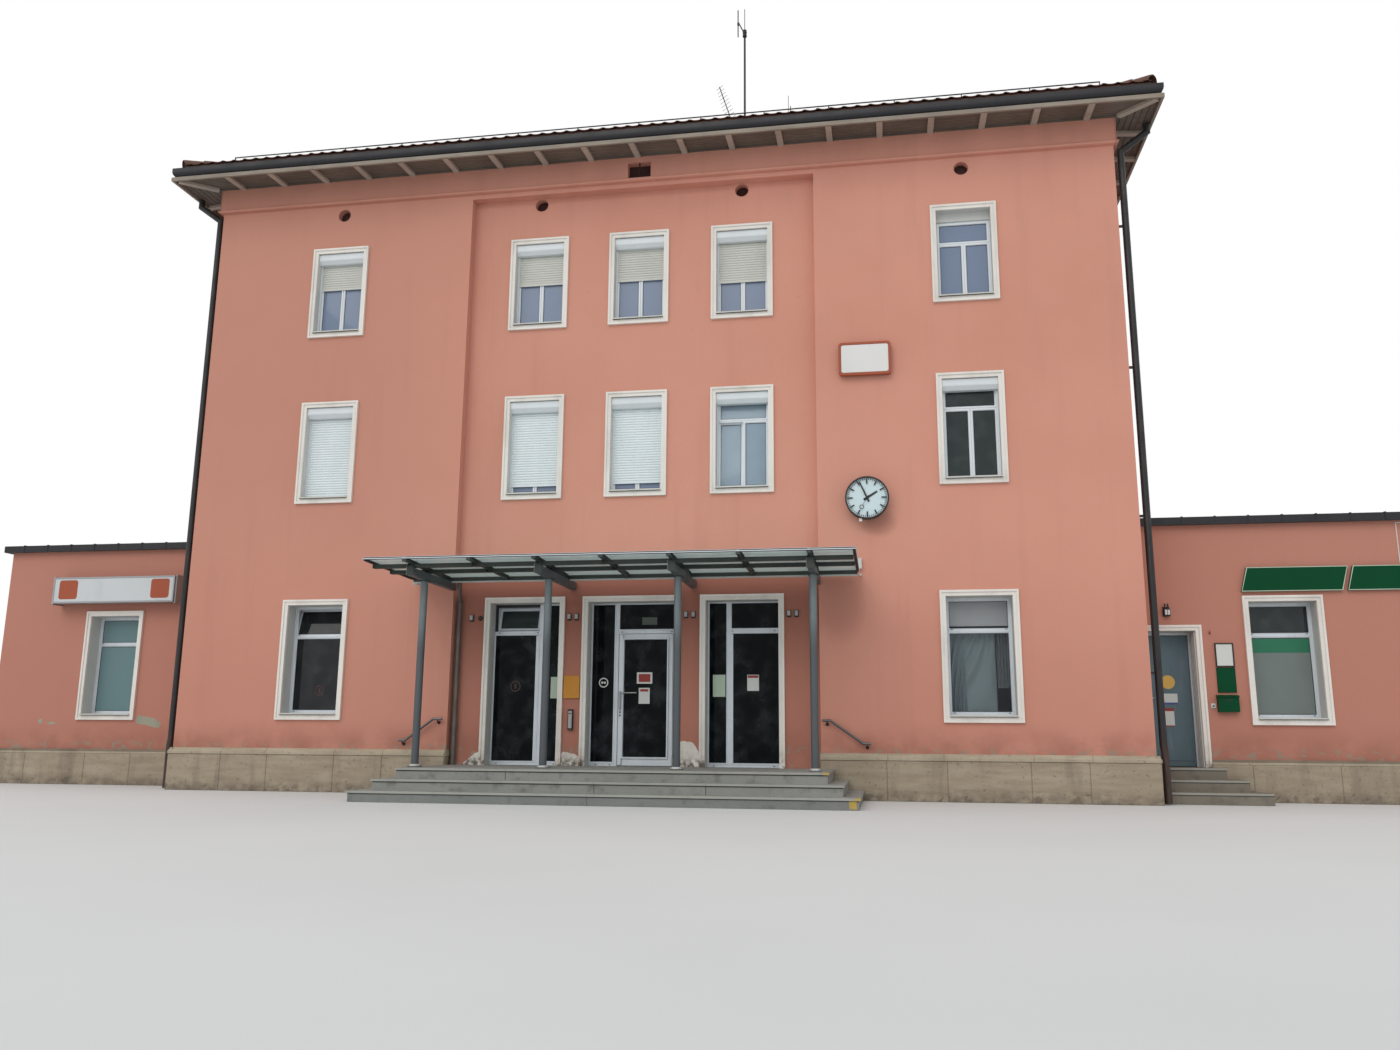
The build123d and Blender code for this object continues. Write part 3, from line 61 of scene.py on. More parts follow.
COLUMN_X = (-3.045, -1.015, 1.015, 3.045)
COLUMN_Y = -1.2
CLOCK = Vector((3.853, -0.19, 4.668))
WING_Y = 1.25
WING_BACK_Y = 9.75
WING_LEFT = -12.67
WING_RIGHT = 14.7
WING_DOOR = (8.135, 8.965, 0.518, 2.655)


def turned(x, y, degrees):
    """Place of a wall's own frame: its face is y = 0 and outside is -Y."""
    return Matrix.Translation((x, y, 0)) @ Matrix.Rotation(math.radians(degrees), 4, "Z")


SIDES = {
    "front": (turned(0, 0, 0), HALF),
    "back": (turned(0, DEPTH, 180), HALF),
    "left": (turned(-HALF, MIDDLE, -90), MIDDLE),
    "right": (turned(HALF, MIDDLE, 90), MIDDLE),
}
WING_FRONT = turned(0, WING_Y, 0)
WING_BACK = turned(0, WING_BACK_Y, 180)
LEFT_END = turned(WING_LEFT, MIDDLE, -90)
RIGHT_END = turned(WING_RIGHT, MIDDLE, 90)


# Meshes

LOOKS = {}
BOX_FACES = ((0, 3, 2, 1), (4, 5, 6, 7), (0, 1, 5, 4), (1, 2, 6, 5), (2, 3, 7, 6), (3, 0, 4, 7))
# Turned discs keep this small hole, so that no face shrinks to nothing.
PINHOLE = 0.0005
BEVEL_ANGLE = math.radians(40)


def linked(name, data):
    obj = bpy.data.objects.new(name, data)
    bpy.context.scene.collection.objects.link(obj)
    return obj


def strip(a0, a1, b0, b1):
    """A rectangular section."""
    return [(a0, b0), (a1, b0), (a1, b1), (a0, b1)]


def inset(rect, by):
    x0, x1, z0, z1 = rect
    return x0 + by, x1 - by, z0 + by, z1 - by


def circle(sides):
    for k in range(sides):
        angle = math.tau * k / sides
        yield math.cos(angle), math.sin(angle)


class Shape:
    """Gathers closed forms and turns them into one piece."""

    def __init__(self):
        self.verts = []
        self.faces = []
        self.marks = []

    def add(self, verts, faces, place=None, mark=0):
        base = len(self.verts)
        self.verts += [tuple(place @ Vector(v)) if place else tuple(v) for v in verts]
        self.faces += [tuple(base + i for i in face) for face in faces]
        self.marks += [mark] * len(faces)
        return self

    def box(self, x0, x1, y0, y1, z0, z1, place=None, mark=0):
        low = [(x0, y0, z0), (x1, y0, z0), (x1, y1, z0), (x0, y1, z0)]
        high = [(x, y, z1) for x, y, _ in low]
        return self.add(low + high, BOX_FACES, place, mark)

    def boxes(self, y, rows, x=0.0, z=0.0):
        """Boxes as (mark, x0, x1, near, far, z0, z1), measured from a point on a wall."""
        for mark, x0, x1, near, far, z0, z1 in rows:
            self.box(x + x0, x + x1, y + near, y + far, z + z0, z + z1, mark=mark)

    def loft(self, rings, place=None, mark=0, closed=False):
        """Rings of equal length, joined in order, with flat ends unless closed."""
        n = len(rings[0])
        faces = []
        for i in range(len(rings) if closed else len(rings) - 1):
            a = i * n
            b = (i + 1) % len(rings) * n
            for k in range(n):
                m = (k + 1) % n
                faces.append((a + k, a + m, b + m, b + k))
        if not closed:
            faces.append(tuple(range(n - 1, -1, -1)))
            faces.append(tuple((len(rings) - 1) * n + k for k in range(n)))
        return self.add([p for ring in rings for p in ring], faces, place, mark)

    def run(self, profile, x0, x1, place=None, mark=0):
        """A closed (y, z) profile drawn along X between two ends."""
        return self.loft([[(x, y, z) for y, z in profile] for x in (x0, x1)], place, mark)

    def mitred(self, profile, side):
        """A closed profile run along one side of the block, mitred at the corners."""
        place, half = SIDES[side]
        self.loft([[(s * (half - y), y, z) for y, z in profile] for s in (-1, 1)], place)

    def frame(self, x0, x1, z0, z1, section, place=None, mark=0):
        """A closed section of (inset, y) run around a rectangle."""
        rings = []
        for far_x, far_z in ((0, 0), (1, 0), (1, 1), (0, 1)):
            rings.append([
                (x1 - by if far_x else x0 + by, y, z1 - by if far_z else z0 + by) for by, y in section
            ])
        return self.loft(rings, place, mark, closed=True)

    def bar(self, start, end, radius, sides=10, mark=0, tip=None):
        """A round bar between two points; tip is its radius at the far end."""
        start, end = Vector(start), Vector(end)
        way = (end - start).normalized()
        across = way.orthogonal().normalized()
        up = way.cross(across)
        rings = []
        for point, r in ((start, radius), (end, radius if tip is None else tip)):
            rings.append([point + across * (r * c) + up * (r * s) for c, s in circle(sides)])
        return self.loft(rings, mark=mark)

    def turn(self, centre, profile, sides=32, mark=0, place=None, axis="Y"):
        """A closed profile of (radius, along) turned around an axis through a point."""
        rings = []
        for c, s in circle(sides):
            offsets = [(r * c, t, r * s) if axis == "Y" else (r * c, r * s, t) for r, t in profile]
            rings.append([Vector(centre) + Vector(offset) for offset in offsets])
        return self.loft(rings, place, mark, closed=True)

    def hoop(self, centre, inner, outer, near, far, sides, mark=0, place=None, axis="Y"):
        return self.turn(centre, strip(inner, outer, near, far), sides, mark, place, axis)

    def disc(self, centre, front, back, near, far, sides, mark=0, place=None):
        """A disc with its own radius at the front and at the back."""
        profile = [(PINHOLE, near), (front, near), (back, far), (PINHOLE, far)]
        return self.turn(centre, profile, sides, mark, place)

    def piece(self, name, looks, slot, body="building", bevel=0.0, smooth=False, instead=()):
        """Makes the object, gives it its materials, by name, and sets it on its body."""
        mesh = bpy.data.meshes.new(name)
        mesh.from_pydata(self.verts, [], self.faces)
        work = bmesh.new()
        work.from_mesh(mesh)
        bmesh.ops.recalc_face_normals(work, faces=work.faces)
        work.to_mesh(mesh)
        work.free()
        for look in looks.split():
            mesh.materials.append(LOOKS[look])
        mesh.polygons.foreach_set("material_index", self.marks)
        mesh.polygons.foreach_set("use_smooth", [smooth] * len(mesh.polygons))
        obj = linked(name, mesh)
        if bevel:
            edge = obj.modifiers.new("edges", "BEVEL")
            edge.width = bevel
            edge.segments = 1
            edge.limit_method = "ANGLE"
            edge.angle_limit = BEVEL_ANGLE
        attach(obj, body)
        if instead:
            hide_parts(*instead)
        return obj


# Materials

class Nodes:
    """Adds nodes to a tree, and sets or links their sockets."""

    def __init__(self, tree):
        tree.nodes.clear()
        self.tree = tree

    def put(self, socket, value):
        if isinstance(value, bpy.types.NodeSocket):
            self.tree.links.new(value, socket)
        elif isinstance(value, tuple) and len(socket.default_value) == 4:
            socket.default_value = (*value, 1.0)
        else:
            socket.default_value = value

    def node(self, kind, **inputs):
        made = self.tree.nodes.new(kind)
        for key, value in inputs.items():
            self.put(made.inputs[key.replace("_", " ")], value)
        return made

    def math(self, operation, a, b=0.0):
        made = self.node("ShaderNodeMath")
        made.operation = operation
        self.put(made.inputs[0], a)
        self.put(made.inputs[1], b)
        return made.outputs[0]


class Shade(Nodes):
    """A material whose colour, roughness and relief come from nodes, by position."""

    def __init__(self, name, colour):
        material = bpy.data.materials.new(name)
        material.use_nodes = True
        super().__init__(material.node_tree)
        LOOKS[name] = material
        self.colour = colour
        self.bsdf = self.node("ShaderNodeBsdfPrincipled")
        self.node("ShaderNodeOutputMaterial", Surface=self.bsdf.outputs[0])
        self.place = self.node("ShaderNodeTexCoord").outputs["Object"]
        self.x, self.y, self.z = self.node("ShaderNodeSeparateXYZ", Vector=self.place).outputs

    def times(self, a, b):
        return self.math("MULTIPLY", a, b)

    def level(self, mask, share, base):
        return self.math("ADD", self.times(mask, share), base)

    def ramp(self, value, low, high):
        """0 at low, 1 at high, eased."""
        made = self.node("ShaderNodeMapRange", Value=value, From_Min=low, From_Max=high)
        made.interpolation_type = "SMOOTHSTEP"
        return made.outputs["Result"]

    def band(self, value, low, high, soft):
        rise = self.ramp(value, low - soft, low + soft)
        return self.times(rise, self.ramp(value, high + soft, high - soft))

    def stretched(self, stretch):
        made = self.node("ShaderNodeVectorMath")
        made.operation = "MULTIPLY"
        self.put(made.inputs[0], self.place)
        self.put(made.inputs[1], stretch)
        return made.outputs[0]

    def noise(self, scale, low=0.3, high=0.7, detail=4.0, stretch=(1, 1, 1)):
        made = self.node(
            "ShaderNodeTexNoise", Vector=self.stretched(stretch), Scale=scale, Detail=detail, Roughness=0.55
        )
        return self.ramp(made.outputs["Fac"], low, high)

    def cells(self, scale, low, high):
        made = self.node("ShaderNodeTexVoronoi", Vector=self.stretched((1, 1, 1)), Scale=scale)
        return self.ramp(made.outputs["Distance"], low, high)

    def spot(self, x, z, wide, high):
        """1 in the middle of an oval on an upright wall, 0 outside it."""
        dx = self.math("DIVIDE", self.math("SUBTRACT", self.x, x), wide)
        dz = self.math("DIVIDE", self.math("SUBTRACT", self.z, z), high)
        return self.ramp(self.math("ADD", self.times(dx, dx), self.times(dz, dz)), 1.0, 0.0)

    def lay(self, mask, share, colour):
        """Lays a colour over the present one, by a share of the mask."""
        made = self.node("ShaderNodeMix")
        made.data_type = "RGBA"
        self.put(made.inputs["Factor"], mask if share == 1 else self.times(mask, share))
        self.put(made.inputs[6], self.colour)
        self.put(made.inputs[7], colour)
        self.colour = made.outputs[2]

    def finish(self, rough, relief=None, depth=0.0, strength=0.0, **sockets):
        """Sets colour, roughness and relief, and any constants straight on the shader."""
        if relief is not None:
            bump = self.node("ShaderNodeBump", Height=relief, Strength=strength, Distance=depth)
            sockets["Normal"] = bump.outputs[0]
        for key, value in {"Base Color": self.colour, "Roughness": rough, **sockets}.items():
            self.put(self.bsdf.inputs[key.replace("_", " ")], value)


def darker(colour, share):
    return tuple(c * share for c in colour)


def render_material():
    """Salmon wall render: mottled, damp and darker near the plinth, streaked under edges, with painted shade
    in places.
    """
    s = Shade("wall_render", (0.700, 0.322, 0.240))
    patch = s.noise(1.6, 0.35, 0.7, 5)
    fine = s.noise(38.0, 0.3, 0.7, 3)
    s.lay(s.noise(0.35, 0.25, 0.75, 3), 1, (0.635, 0.283, 0.206))
    s.lay(patch, 0.35, (0.665, 0.308, 0.228))
    s.lay(fine, 0.10, (0.50, 0.21, 0.155))
    # Painted shade over the left part of the wall, stronger higher up.
    left = s.times(s.ramp(s.x, 1.5, -6.5), s.level(s.ramp(s.z, 1.5, 6.5), 0.30, 0.30))
    s.lay(left, 1, (0.49, 0.222, 0.160))
    s.lay(s.ramp(s.z, 4.2, 0.9), 0.42, (0.52, 0.215, 0.155))
    s.lay(s.ramp(s.math("ABSOLUTE", s.x), 7.98, 8.0), 0.62, (0.43, 0.178, 0.128))
    s.lay(s.noise(3.0, 0.52, 0.75, 4, (1.0, 1.0, 0.08)), 0.14, (0.42, 0.18, 0.135))
    # Painted shade: the recess under the canopy is darkened, most just under the glass.
    street = s.ramp(s.y, 0.6, 0.5)
    under = s.times(s.band(s.x, *RECESS, 0.02), s.ramp(s.y, 0.12, 0.17))
    under = s.times(s.times(under, street), s.ramp(s.z, 3.62, 3.45))
    s.lay(s.times(under, s.level(s.ramp(s.z, 1.4, 3.4), 0.30, 0.32)), 1, (0.15, 0.030, 0.014))
    # Painted shadow with some dirt on the wall beside the canopy's right end, and painted shade on the wall
    # below the clock.
    rim = s.times(s.times(s.spot(3.38, 3.05, 0.5, 0.75), street), 0.35)
    rim = s.math("ADD", rim, s.times(s.times(s.spot(4.02, 4.30, 0.34, 0.26), street), 0.42))
    s.lay(rim, 1, (0.28, 0.10, 0.07))
    damp = s.times(s.ramp(s.z, 1.25, 0.70), s.level(s.noise(2.2, 0.3, 0.65, 6), 0.8, 0.2))
    s.lay(damp, 0.72, (0.34, 0.135, 0.095))
    s.lay(s.noise(9.0, 0.68, 0.78, 4), 0.22, (0.36, 0.18, 0.14))
    crack = s.times(s.ramp(s.z, 0.86, 0.70), s.noise(7.0, 0.52, 0.60, 6, (1.0, 1.0, 1.6)))
    s.lay(crack, 0.75, (0.30, 0.25, 0.19))
    eaves = s.times(s.ramp(s.z, 9.3, 10.9), s.noise(1.3, 0.3, 0.8, 4, (1, 1, 0.15)))
    s.lay(eaves, 0.20, (0.38, 0.16, 0.13))
    grain = s.math("ADD", s.noise(160.0, 0.2, 0.8, 3), s.times(patch, 1.6))
    s.finish(s.level(fine, 0.08, 0.86), grain, 0.0022, 0.55)


def trim_material():
    """Cream paint, soiled low down and broken away at the foot."""
    s = Shade("trim_paint", (0.84, 0.80, 0.745))
    fine = s.noise(60.0, 0.3, 0.7, 3)
    s.lay(s.noise(2.2, 0.42, 0.78, 5, (1, 1, 0.35)), 1, (0.67, 0.63, 0.58))
    s.lay(fine, 0.15, (0.45, 0.40, 0.33))
    s.lay(s.times(s.ramp(s.z, 1.1, 0.45), s.noise(5.0, 0.35, 0.65, 5)), 0.55, (0.38, 0.30, 0.23))
    s.lay(s.times(s.ramp(s.z, 0.64, 0.50), s.noise(11.0, 0.42, 0.56, 6)), 0.85, (0.07, 0.05, 0.038))
    s.finish(s.level(fine, 0.1, 0.72), fine, 0.0012, 0.5)


def stone_material(name, pale, mid, dark, stain=0.5):
    """Sandstone: beds, pits, dark run-off stains and a soiled foot."""
    s = Shade(name, pale)
    grain = s.noise(70.0, 0.25, 0.75, 4)
    pits = s.noise(24.0, 0.6, 0.72, 5)
    s.lay(s.noise(3.0, 0.3, 0.72, 6, (0.5, 0.5, 3.2)), 1, mid)
    s.lay(s.noise(1.1, 0.35, 0.68, 5), 0.5, mid)
    s.lay(s.noise(1.7, 0.5, 0.72, 5, (1.6, 1.6, 0.3)), stain, dark)
    s.lay(s.times(s.ramp(s.z, 0.26, 0.0), s.noise(6.0, 0.25, 0.65, 5)), 0.7, (0.12, 0.095, 0.075))
    s.lay(grain, 0.22, (0.22, 0.17, 0.13))
    s.lay(pits, 0.55, (0.13, 0.10, 0.08))
    s.finish(s.level(grain, 0.1, 0.84), s.math("SUBTRACT", s.times(grain, 0.5), pits), 0.004, 0.7)


def granite_material(name, base, other, joints=(), edges=(), paint=()):
    """Worn stone steps with joints as (low, x, high), edges as (y, z) with a painted shadow line under each,
    and boxes of old paint.
    """
    s = Shade(name, base)
    grain = s.cells(120.0, 0.15, 0.6)
    s.lay(s.noise(1.4, 0.3, 0.7, 6), 1, other)
    s.lay(grain, 0.3, darker(base, 0.6))
    s.lay(s.noise(260.0, 0.42, 0.58, 2), 0.25, darker(base, 1.7))
    s.lay(s.noise(5.0, 0.5, 0.75, 6), 0.5, (0.075, 0.07, 0.06))
    for low, x, high in joints:
        line = s.times(s.band(s.x, x - 0.006, x + 0.006, 0.003), s.band(s.z, low, high, 0.002))
        s.lay(line, 0.85, (0.04, 0.04, 0.035))
    for y, z in edges:
        pale = s.times(s.band(s.y, y - 0.03, y + 0.012, 0.004), s.band(s.z, z - 0.030, z + 0.01, 0.003))
        s.lay(pale, 0.55, (0.44, 0.43, 0.39))
        # Painted shadow line on the riser just under the nosing.
        nosing_shadow = s.times(s.band(s.y, y - 0.03, y + 0.03, 0.004), s.band(s.z, z - 0.046, z - 0.031, 0.004))
        s.lay(nosing_shadow, 0.9, (0.03, 0.03, 0.027))
    if paint:
        s.lay(s.ramp(s.z, 0.135, 0.10), 0.5, (0.125, 0.135, 0.140))
    for x0, x1, y0, y1, z0, z1 in paint:
        area = s.times(s.band(s.x, x0, x1, 0.012), s.band(s.y, y0, y1, 0.012))
        area = s.times(s.times(area, s.band(s.z, z0, z1, 0.012)), s.noise(12.0, 0.30, 0.48, 6))
        s.lay(area, 0.85, (0.52, 0.36, 0.045))
    s.finish(s.level(grain, 0.12, 0.66), grain, 0.0012, 0.5)


def metal_material(name, base, rough, metallic, wear, dust=(0.3, 0.29, 0.27)):
    """Painted or bare metal with faint streaks, dust and scuffs."""
    s = Shade(name, base)
    cloud = s.noise(2.6, 0.3, 0.75, 5)
    fine = s.noise(90.0, 0.3, 0.7, 3)
    s.lay(cloud, wear, darker(base, 0.72))
    s.lay(s.noise(14.0, 0.5, 0.75, 4, (1, 1, 0.12)), wear * 0.6, dust)
    s.lay(fine, 0.06, darker(base, 0.5))
    s.finish(s.level(cloud, 0.15, rough), fine, 0.0005, 0.35, Metallic=metallic)


def plastic_material(name, base, rough=0.35, soil=0.18, gloss=0.5):
    s = Shade(name, base)
    cloud = s.noise(3.5, 0.4, 0.8, 5, (1, 1, 0.4))
    fine = s.noise(140.0, 0.3, 0.7, 2)
    s.lay(cloud, soil, darker(base, 0.7))
    s.lay(fine, 0.05, darker(base, 0.6))
    s.finish(s.level(cloud, 0.15, rough), fine, 0.0004, 0.3, Specular_IOR_Level=gloss)


def tile_material():
    """Clay tiles, each course and tile a little different, with lichen and soot."""
    s = Shade("roof_tiles", (0.165, 0.072, 0.048))
    s.lay(s.noise(2.6, 0.3, 0.7, 2), 1, (0.105, 0.048, 0.036))
    s.lay(s.noise(5.5, 0.35, 0.65, 1), 0.5, (0.20, 0.088, 0.056))
    s.lay(s.noise(0.8, 0.4, 0.7, 5), 0.45, (0.055, 0.042, 0.036))
    s.lay(s.noise(16.0, 0.62, 0.72, 5), 0.5, (0.24, 0.22, 0.16))
    grain = s.noise(110.0, 0.3, 0.7, 3)
    s.finish(s.level(grain, 0.12, 0.74), grain, 0.0012, 0.5)


def timber_material(name, pale, dark):
    """Painted boards with grain and clouds of dirt."""
    s = Shade(name, pale)
    grain = s.noise(7.0, 0.3, 0.7, 5, (0.35, 4.0, 4.0))
    s.lay(s.noise(1.3, 0.35, 0.7, 4), 1, dark)
    s.lay(grain, 0.25, darker(dark, 0.6))
    s.finish(s.level(grain, 0.15, 0.6), grain, 0.0012, 0.5)


def glass_material(name, tint, alpha, rough=0.03, high=None, gloss=0.5, **sockets):
    """Window glass: a tint, high up where given a painted reflection of the sky, with dust and faint rain
    marks.
    """
    s = Shade(name, tint)
    s.lay(s.noise(4.0, 0.4, 0.8, 5), 0.12, (0.22, 0.24, 0.26))
    # Higher up the colour turns to a painted reflection of the sky.
    if high:
        s.lay(s.ramp(s.z, 3.6, 4.6), 1, high)
    spread = s.level(s.noise(26.0, 0.55, 0.8, 4, (1, 1, 0.15)), 0.05, rough)
    wave = s.noise(1.1, 0.2, 0.8, 2)
    s.finish(spread, wave, 0.002, 0.08, Alpha=alpha, IOR=1.5, Specular_IOR_Level=gloss, **sockets)


def cloth_material(name, base, alpha=1.0):
    """Curtain cloth with a fine weave and softer bands."""
    s = Shade(name, base)
    weave = s.noise(240.0, 0.3, 0.7, 2)
    s.lay(s.noise(6.0, 0.3, 0.7, 3, (1.0, 1.0, 0.06)), 0.35, darker(base, 0.7))
    s.lay(weave, 0.2, darker(base, 0.5))
    s.finish(s.level(weave, 0.1, 0.85), weave, 0.0006, 0.5, Alpha=alpha)


def pipe_material(name, base, foot, low, high):
    """Painted pipe whose colour changes between two heights; on the columns the change is a painted
    reflection, bright above and dark below.
    """
    s = Shade(name, base)
    cloud = s.noise(3.5, 0.3, 0.7, 5)
    streak = s.noise(16.0, 0.45, 0.7, 4, (1, 1, 0.15))
    s.lay(s.ramp(s.z, high, low), 1, foot)
    s.lay(cloud, 0.3, darker(base, 0.6))
    s.lay(streak, 0.18, (0.12, 0.09, 0.07))
    s.finish(s.level(cloud, 0.15, 0.42), streak, 0.0005, 0.35, Metallic=0.2)


def felt_material():
    s = Shade("roofing_felt", (0.075, 0.075, 0.078))
    chips = s.noise(150.0, 0.35, 0.65, 2)
    s.lay(s.noise(0.9, 0.3, 0.7, 5), 1, (0.045, 0.044, 0.043))
    s.lay(chips, 0.35, (0.13, 0.125, 0.12))
    s.finish(s.level(chips, 0.1, 0.85), chips, 0.002, 0.6)


# Colour, roughness, metal, wear and dust of each metal.
METALS = {
    "gutter_metal": ((0.020, 0.020, 0.024), 0.42, 0.3, 0.25, (0.05, 0.05, 0.05)),
    "aluminium": ((0.66, 0.705, 0.75), 0.38, 0.25, 0.25),
    "sill_metal": ((0.62, 0.60, 0.55), 0.45, 0.1, 0.35),
    "steel_paint": ((0.135, 0.165, 0.19), 0.4, 0.15, 0.3),
    "handrail_metal": ((0.15, 0.145, 0.15), 0.26, 0.75, 0.3),
    # canopy_steel and beam_paint are the canopy's dark steel paint, darkened further as painted shade under
    # the glass.
    "canopy_steel": ((0.040, 0.052, 0.046), 0.42, 0.1, 0.3, (0.09, 0.1, 0.09)),
    "beam_paint": ((0.095, 0.118, 0.125), 0.42, 0.1, 0.3, (0.16, 0.17, 0.17)),
    "bare_steel": ((0.42, 0.42, 0.42), 0.38, 0.8, 0.3),
    "sign_box": ((0.36, 0.37, 0.38), 0.4, 0.3, 0.3),
    "clock_metal": ((0.02, 0.019, 0.02), 0.35, 0.3, 0.2),
    "clock_hands": ((0.008, 0.008, 0.012), 0.5, 0.0, 0.1, (0.03, 0.03, 0.03)),
    "door_paint": ((0.098, 0.155, 0.185), 0.42, 0.1, 0.3),
    "dark_fitting": ((0.03, 0.028, 0.028), 0.45, 0.3, 0.2, (0.08, 0.07, 0.06)),
}
# Colour, roughness, soil and gloss of each plastic, paper or plain paint.
PLASTICS = {
    "white_frames": ((0.74, 0.77, 0.80),),
    "shutter_boxes": ((0.70, 0.735, 0.76), 0.4),
    "cream_slats": ((0.60, 0.60, 0.55), 0.45, 0.25),
    "white_slats": ((0.76, 0.82, 0.84), 0.45, 0.2),
    "gasket": ((0.018, 0.018, 0.02), 0.6),
    "reveal_paint": ((0.60, 0.60, 0.575), 0.7, 0.4),
    "sign_red": ((0.38, 0.095, 0.047), 0.35, 0.18, 0.2),
    "sign_white": ((0.74, 0.72, 0.70),),
    "sign_face": ((0.60, 0.62, 0.63), 0.3, 0.35),
    "green_board": ((0.0015, 0.062, 0.022), 0.35, 0.3, 0.1),
    "clock_dial": ((0.62, 0.74, 0.77), 0.3, 0.12),
    "notice_paper": ((0.66, 0.67, 0.64), 0.6, 0.15),
    "green_paper": ((0.46, 0.56, 0.44), 0.6, 0.2),
    "label_paper": ((0.10, 0.125, 0.105), 0.6, 0.3),
    "notice_red": ((0.30, 0.022, 0.015), 0.5, 0.2),
    "yellow_plate": ((0.56, 0.225, 0.006), 0.4, 0.2),
    "sticker_yellow": ((0.72, 0.44, 0.09), 0.5, 0.15),
    "sticker_blue": ((0.05, 0.075, 0.26), 0.5, 0.15),
    "window_film": ((0.155, 0.185, 0.175), 0.35, 0.3),
    "window_green": ((0.004, 0.150, 0.072), 0.35, 0.3),
    "pale_board": ((0.62, 0.64, 0.65), 0.6, 0.25),
    "faint_red": ((0.055, 0.012, 0.010), 0.5, 0.2),
    "grey_plaster": ((0.34, 0.33, 0.25), 0.85, 0.4),
    "vent_dark": ((0.045, 0.014, 0.011), 0.8, 0.3),
}
for look, values in METALS.items():
    metal_material(look, *values)
for look, values in PLASTICS.items():
    plastic_material(look, *values)
render_material()
trim_material()
tile_material()
felt_material()
stone_material("sandstone", (0.43, 0.36, 0.265), (0.33, 0.265, 0.19), (0.16, 0.125, 0.095))
stone_material("sandstone_cap", (0.50, 0.43, 0.315), (0.39, 0.325, 0.235), (0.2, 0.165, 0.125), 0.35)
stone_material("mortar", (0.27, 0.215, 0.155), (0.20, 0.16, 0.115), (0.10, 0.08, 0.06))
granite_material("concrete", (0.30, 0.29, 0.27), (0.24, 0.23, 0.21))
granite_material(
    "step_stone", (0.30, 0.30, 0.275), (0.23, 0.235, 0.215),
    joints=((0.31, -1.387, 0.47), (0.155, 0.018, 0.305), (0.155, 1.6, 0.305), (0.0, 0.0, 0.152)),
    edges=((-1.8, 0.46), (-2.1, 0.307), (-2.4, 0.1533)),
    paint=(
        (3.19, 3.30, -1.84, -1.62, 0.43, 0.47), (3.64, 3.74, -2.44, -2.20, 0.115, 0.16),
        (3.56, 3.66, -2.44, -2.36, 0.01, 0.12),
    ),
)
STEPS_LOW, STEPS_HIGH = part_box("wing_steps")
granite_material(
    "wing_step_stone", (0.21, 0.185, 0.145), (0.165, 0.14, 0.11),
    edges=[(STEPS_LOW[1] + 0.3 * i, STEPS_HIGH[2] / 3 * (i + 1)) for i in range(3)],
)
# The eaves boards' colour is darkened as painted shade under the eaves.
timber_material("boards_in_painted_shade", (0.165, 0.13, 0.105), (0.12, 0.095, 0.075))
timber_material("painted_edges", (0.31, 0.255, 0.205), (0.235, 0.195, 0.155))
timber_material("painted_tails", (0.47, 0.40, 0.34), (0.38, 0.32, 0.27))
pipe_material("rainwater_pipe", (0.018, 0.017, 0.019), (0.050, 0.026, 0.020), 0.75, 1.0)
pipe_material("canopy_drain_paint", (0.055, 0.068, 0.062), (0.15, 0.13, 0.115), 3.40, 3.42)
# The columns are lighter above 2.75 m and darker below 2.2 m: a painted reflection of the sky above and of
# the dark surroundings below.
pipe_material("column_paint", (0.175, 0.212, 0.225), (0.078, 0.090, 0.102), 2.2, 2.75)
# The dark tints that let little light through are painted shade of the unlit rooms behind the glass.
glass_material("window_glass", (0.012, 0.014, 0.016), 0.9, high=(0.215, 0.27, 0.38), gloss=0.3)
glass_material("door_glass", (0.004, 0.006, 0.007), 0.95, gloss=0.06)
glass_material("clear_glass", (0.06, 0.07, 0.09), 0.16)
# Panes of the tilted upper window, tinted as a painted reflection of the sky.
glass_material("sky_glass", (0.38, 0.50, 0.60), 0.60)
glass_material("dark_glass", (0.020, 0.030, 0.030), 0.9, gloss=0.35)
glass_material("frosted_glass", (0.15, 0.242, 0.255), 0.98, 0.42, gloss=0.2)
glass_material(
    "canopy_glass", (0.68, 0.96, 0.94), 0.92, 0.3, gloss=0.3,
    Subsurface_Weight=0.9, Subsurface_Radius=(0.06, 0.065, 0.063), Subsurface_Scale=1.0,
)
cloth_material("curtain_cloth", (0.80, 0.86, 0.90))
cloth_material("net_cloth", (0.34, 0.44, 0.46), 0.85)
cloth_material("lace_cloth", (0.22, 0.25, 0.26), 0.7)

NODE_LOOKS = {
    "eaves_band": "wall_render",
    "canopy_columns": "column_paint",
    "canopy_grid": "canopy_steel",
    "canopy_beams": "beam_paint",
    "canopy_drain": "canopy_drain_paint",
    "rainwater_pipes": "rainwater_pipe",
    "aerial_mast": "dark_fitting",
    "rafter_tails": "painted_tails",
    "eave_boards": "painted_edges",
    "wing_steps": "wing_step_stone",
    "entrance_panes": "door_glass",
    "entrance_door_pane": "door_glass",
    "entrance_door_handle": "bare_steel",
    "plinth": "mortar",
    "wing_plinths": "mortar",
}
# Material slots whose look has another name.
SLOT_LOOKS = {
    "render": "wall_render",
    "trim": "trim_paint",
    "granite": "step_stone",
    "roof_tile": "roof_tiles",
    "roofing": "roofing_felt",
    "timber": "boards_in_painted_shade",
    "zinc": "gutter_metal",
    "white_plastic": "white_frames",
    "cream_plastic": "cream_slats",
    "frame_metal": "aluminium",
    "glass": "window_glass",
    "milky_glass": "canopy_glass",
    "steel": "bare_steel",
    "sign_green": "green_board",
    "dial": "clock_dial",
    "hand_black": "clock_hands",
}


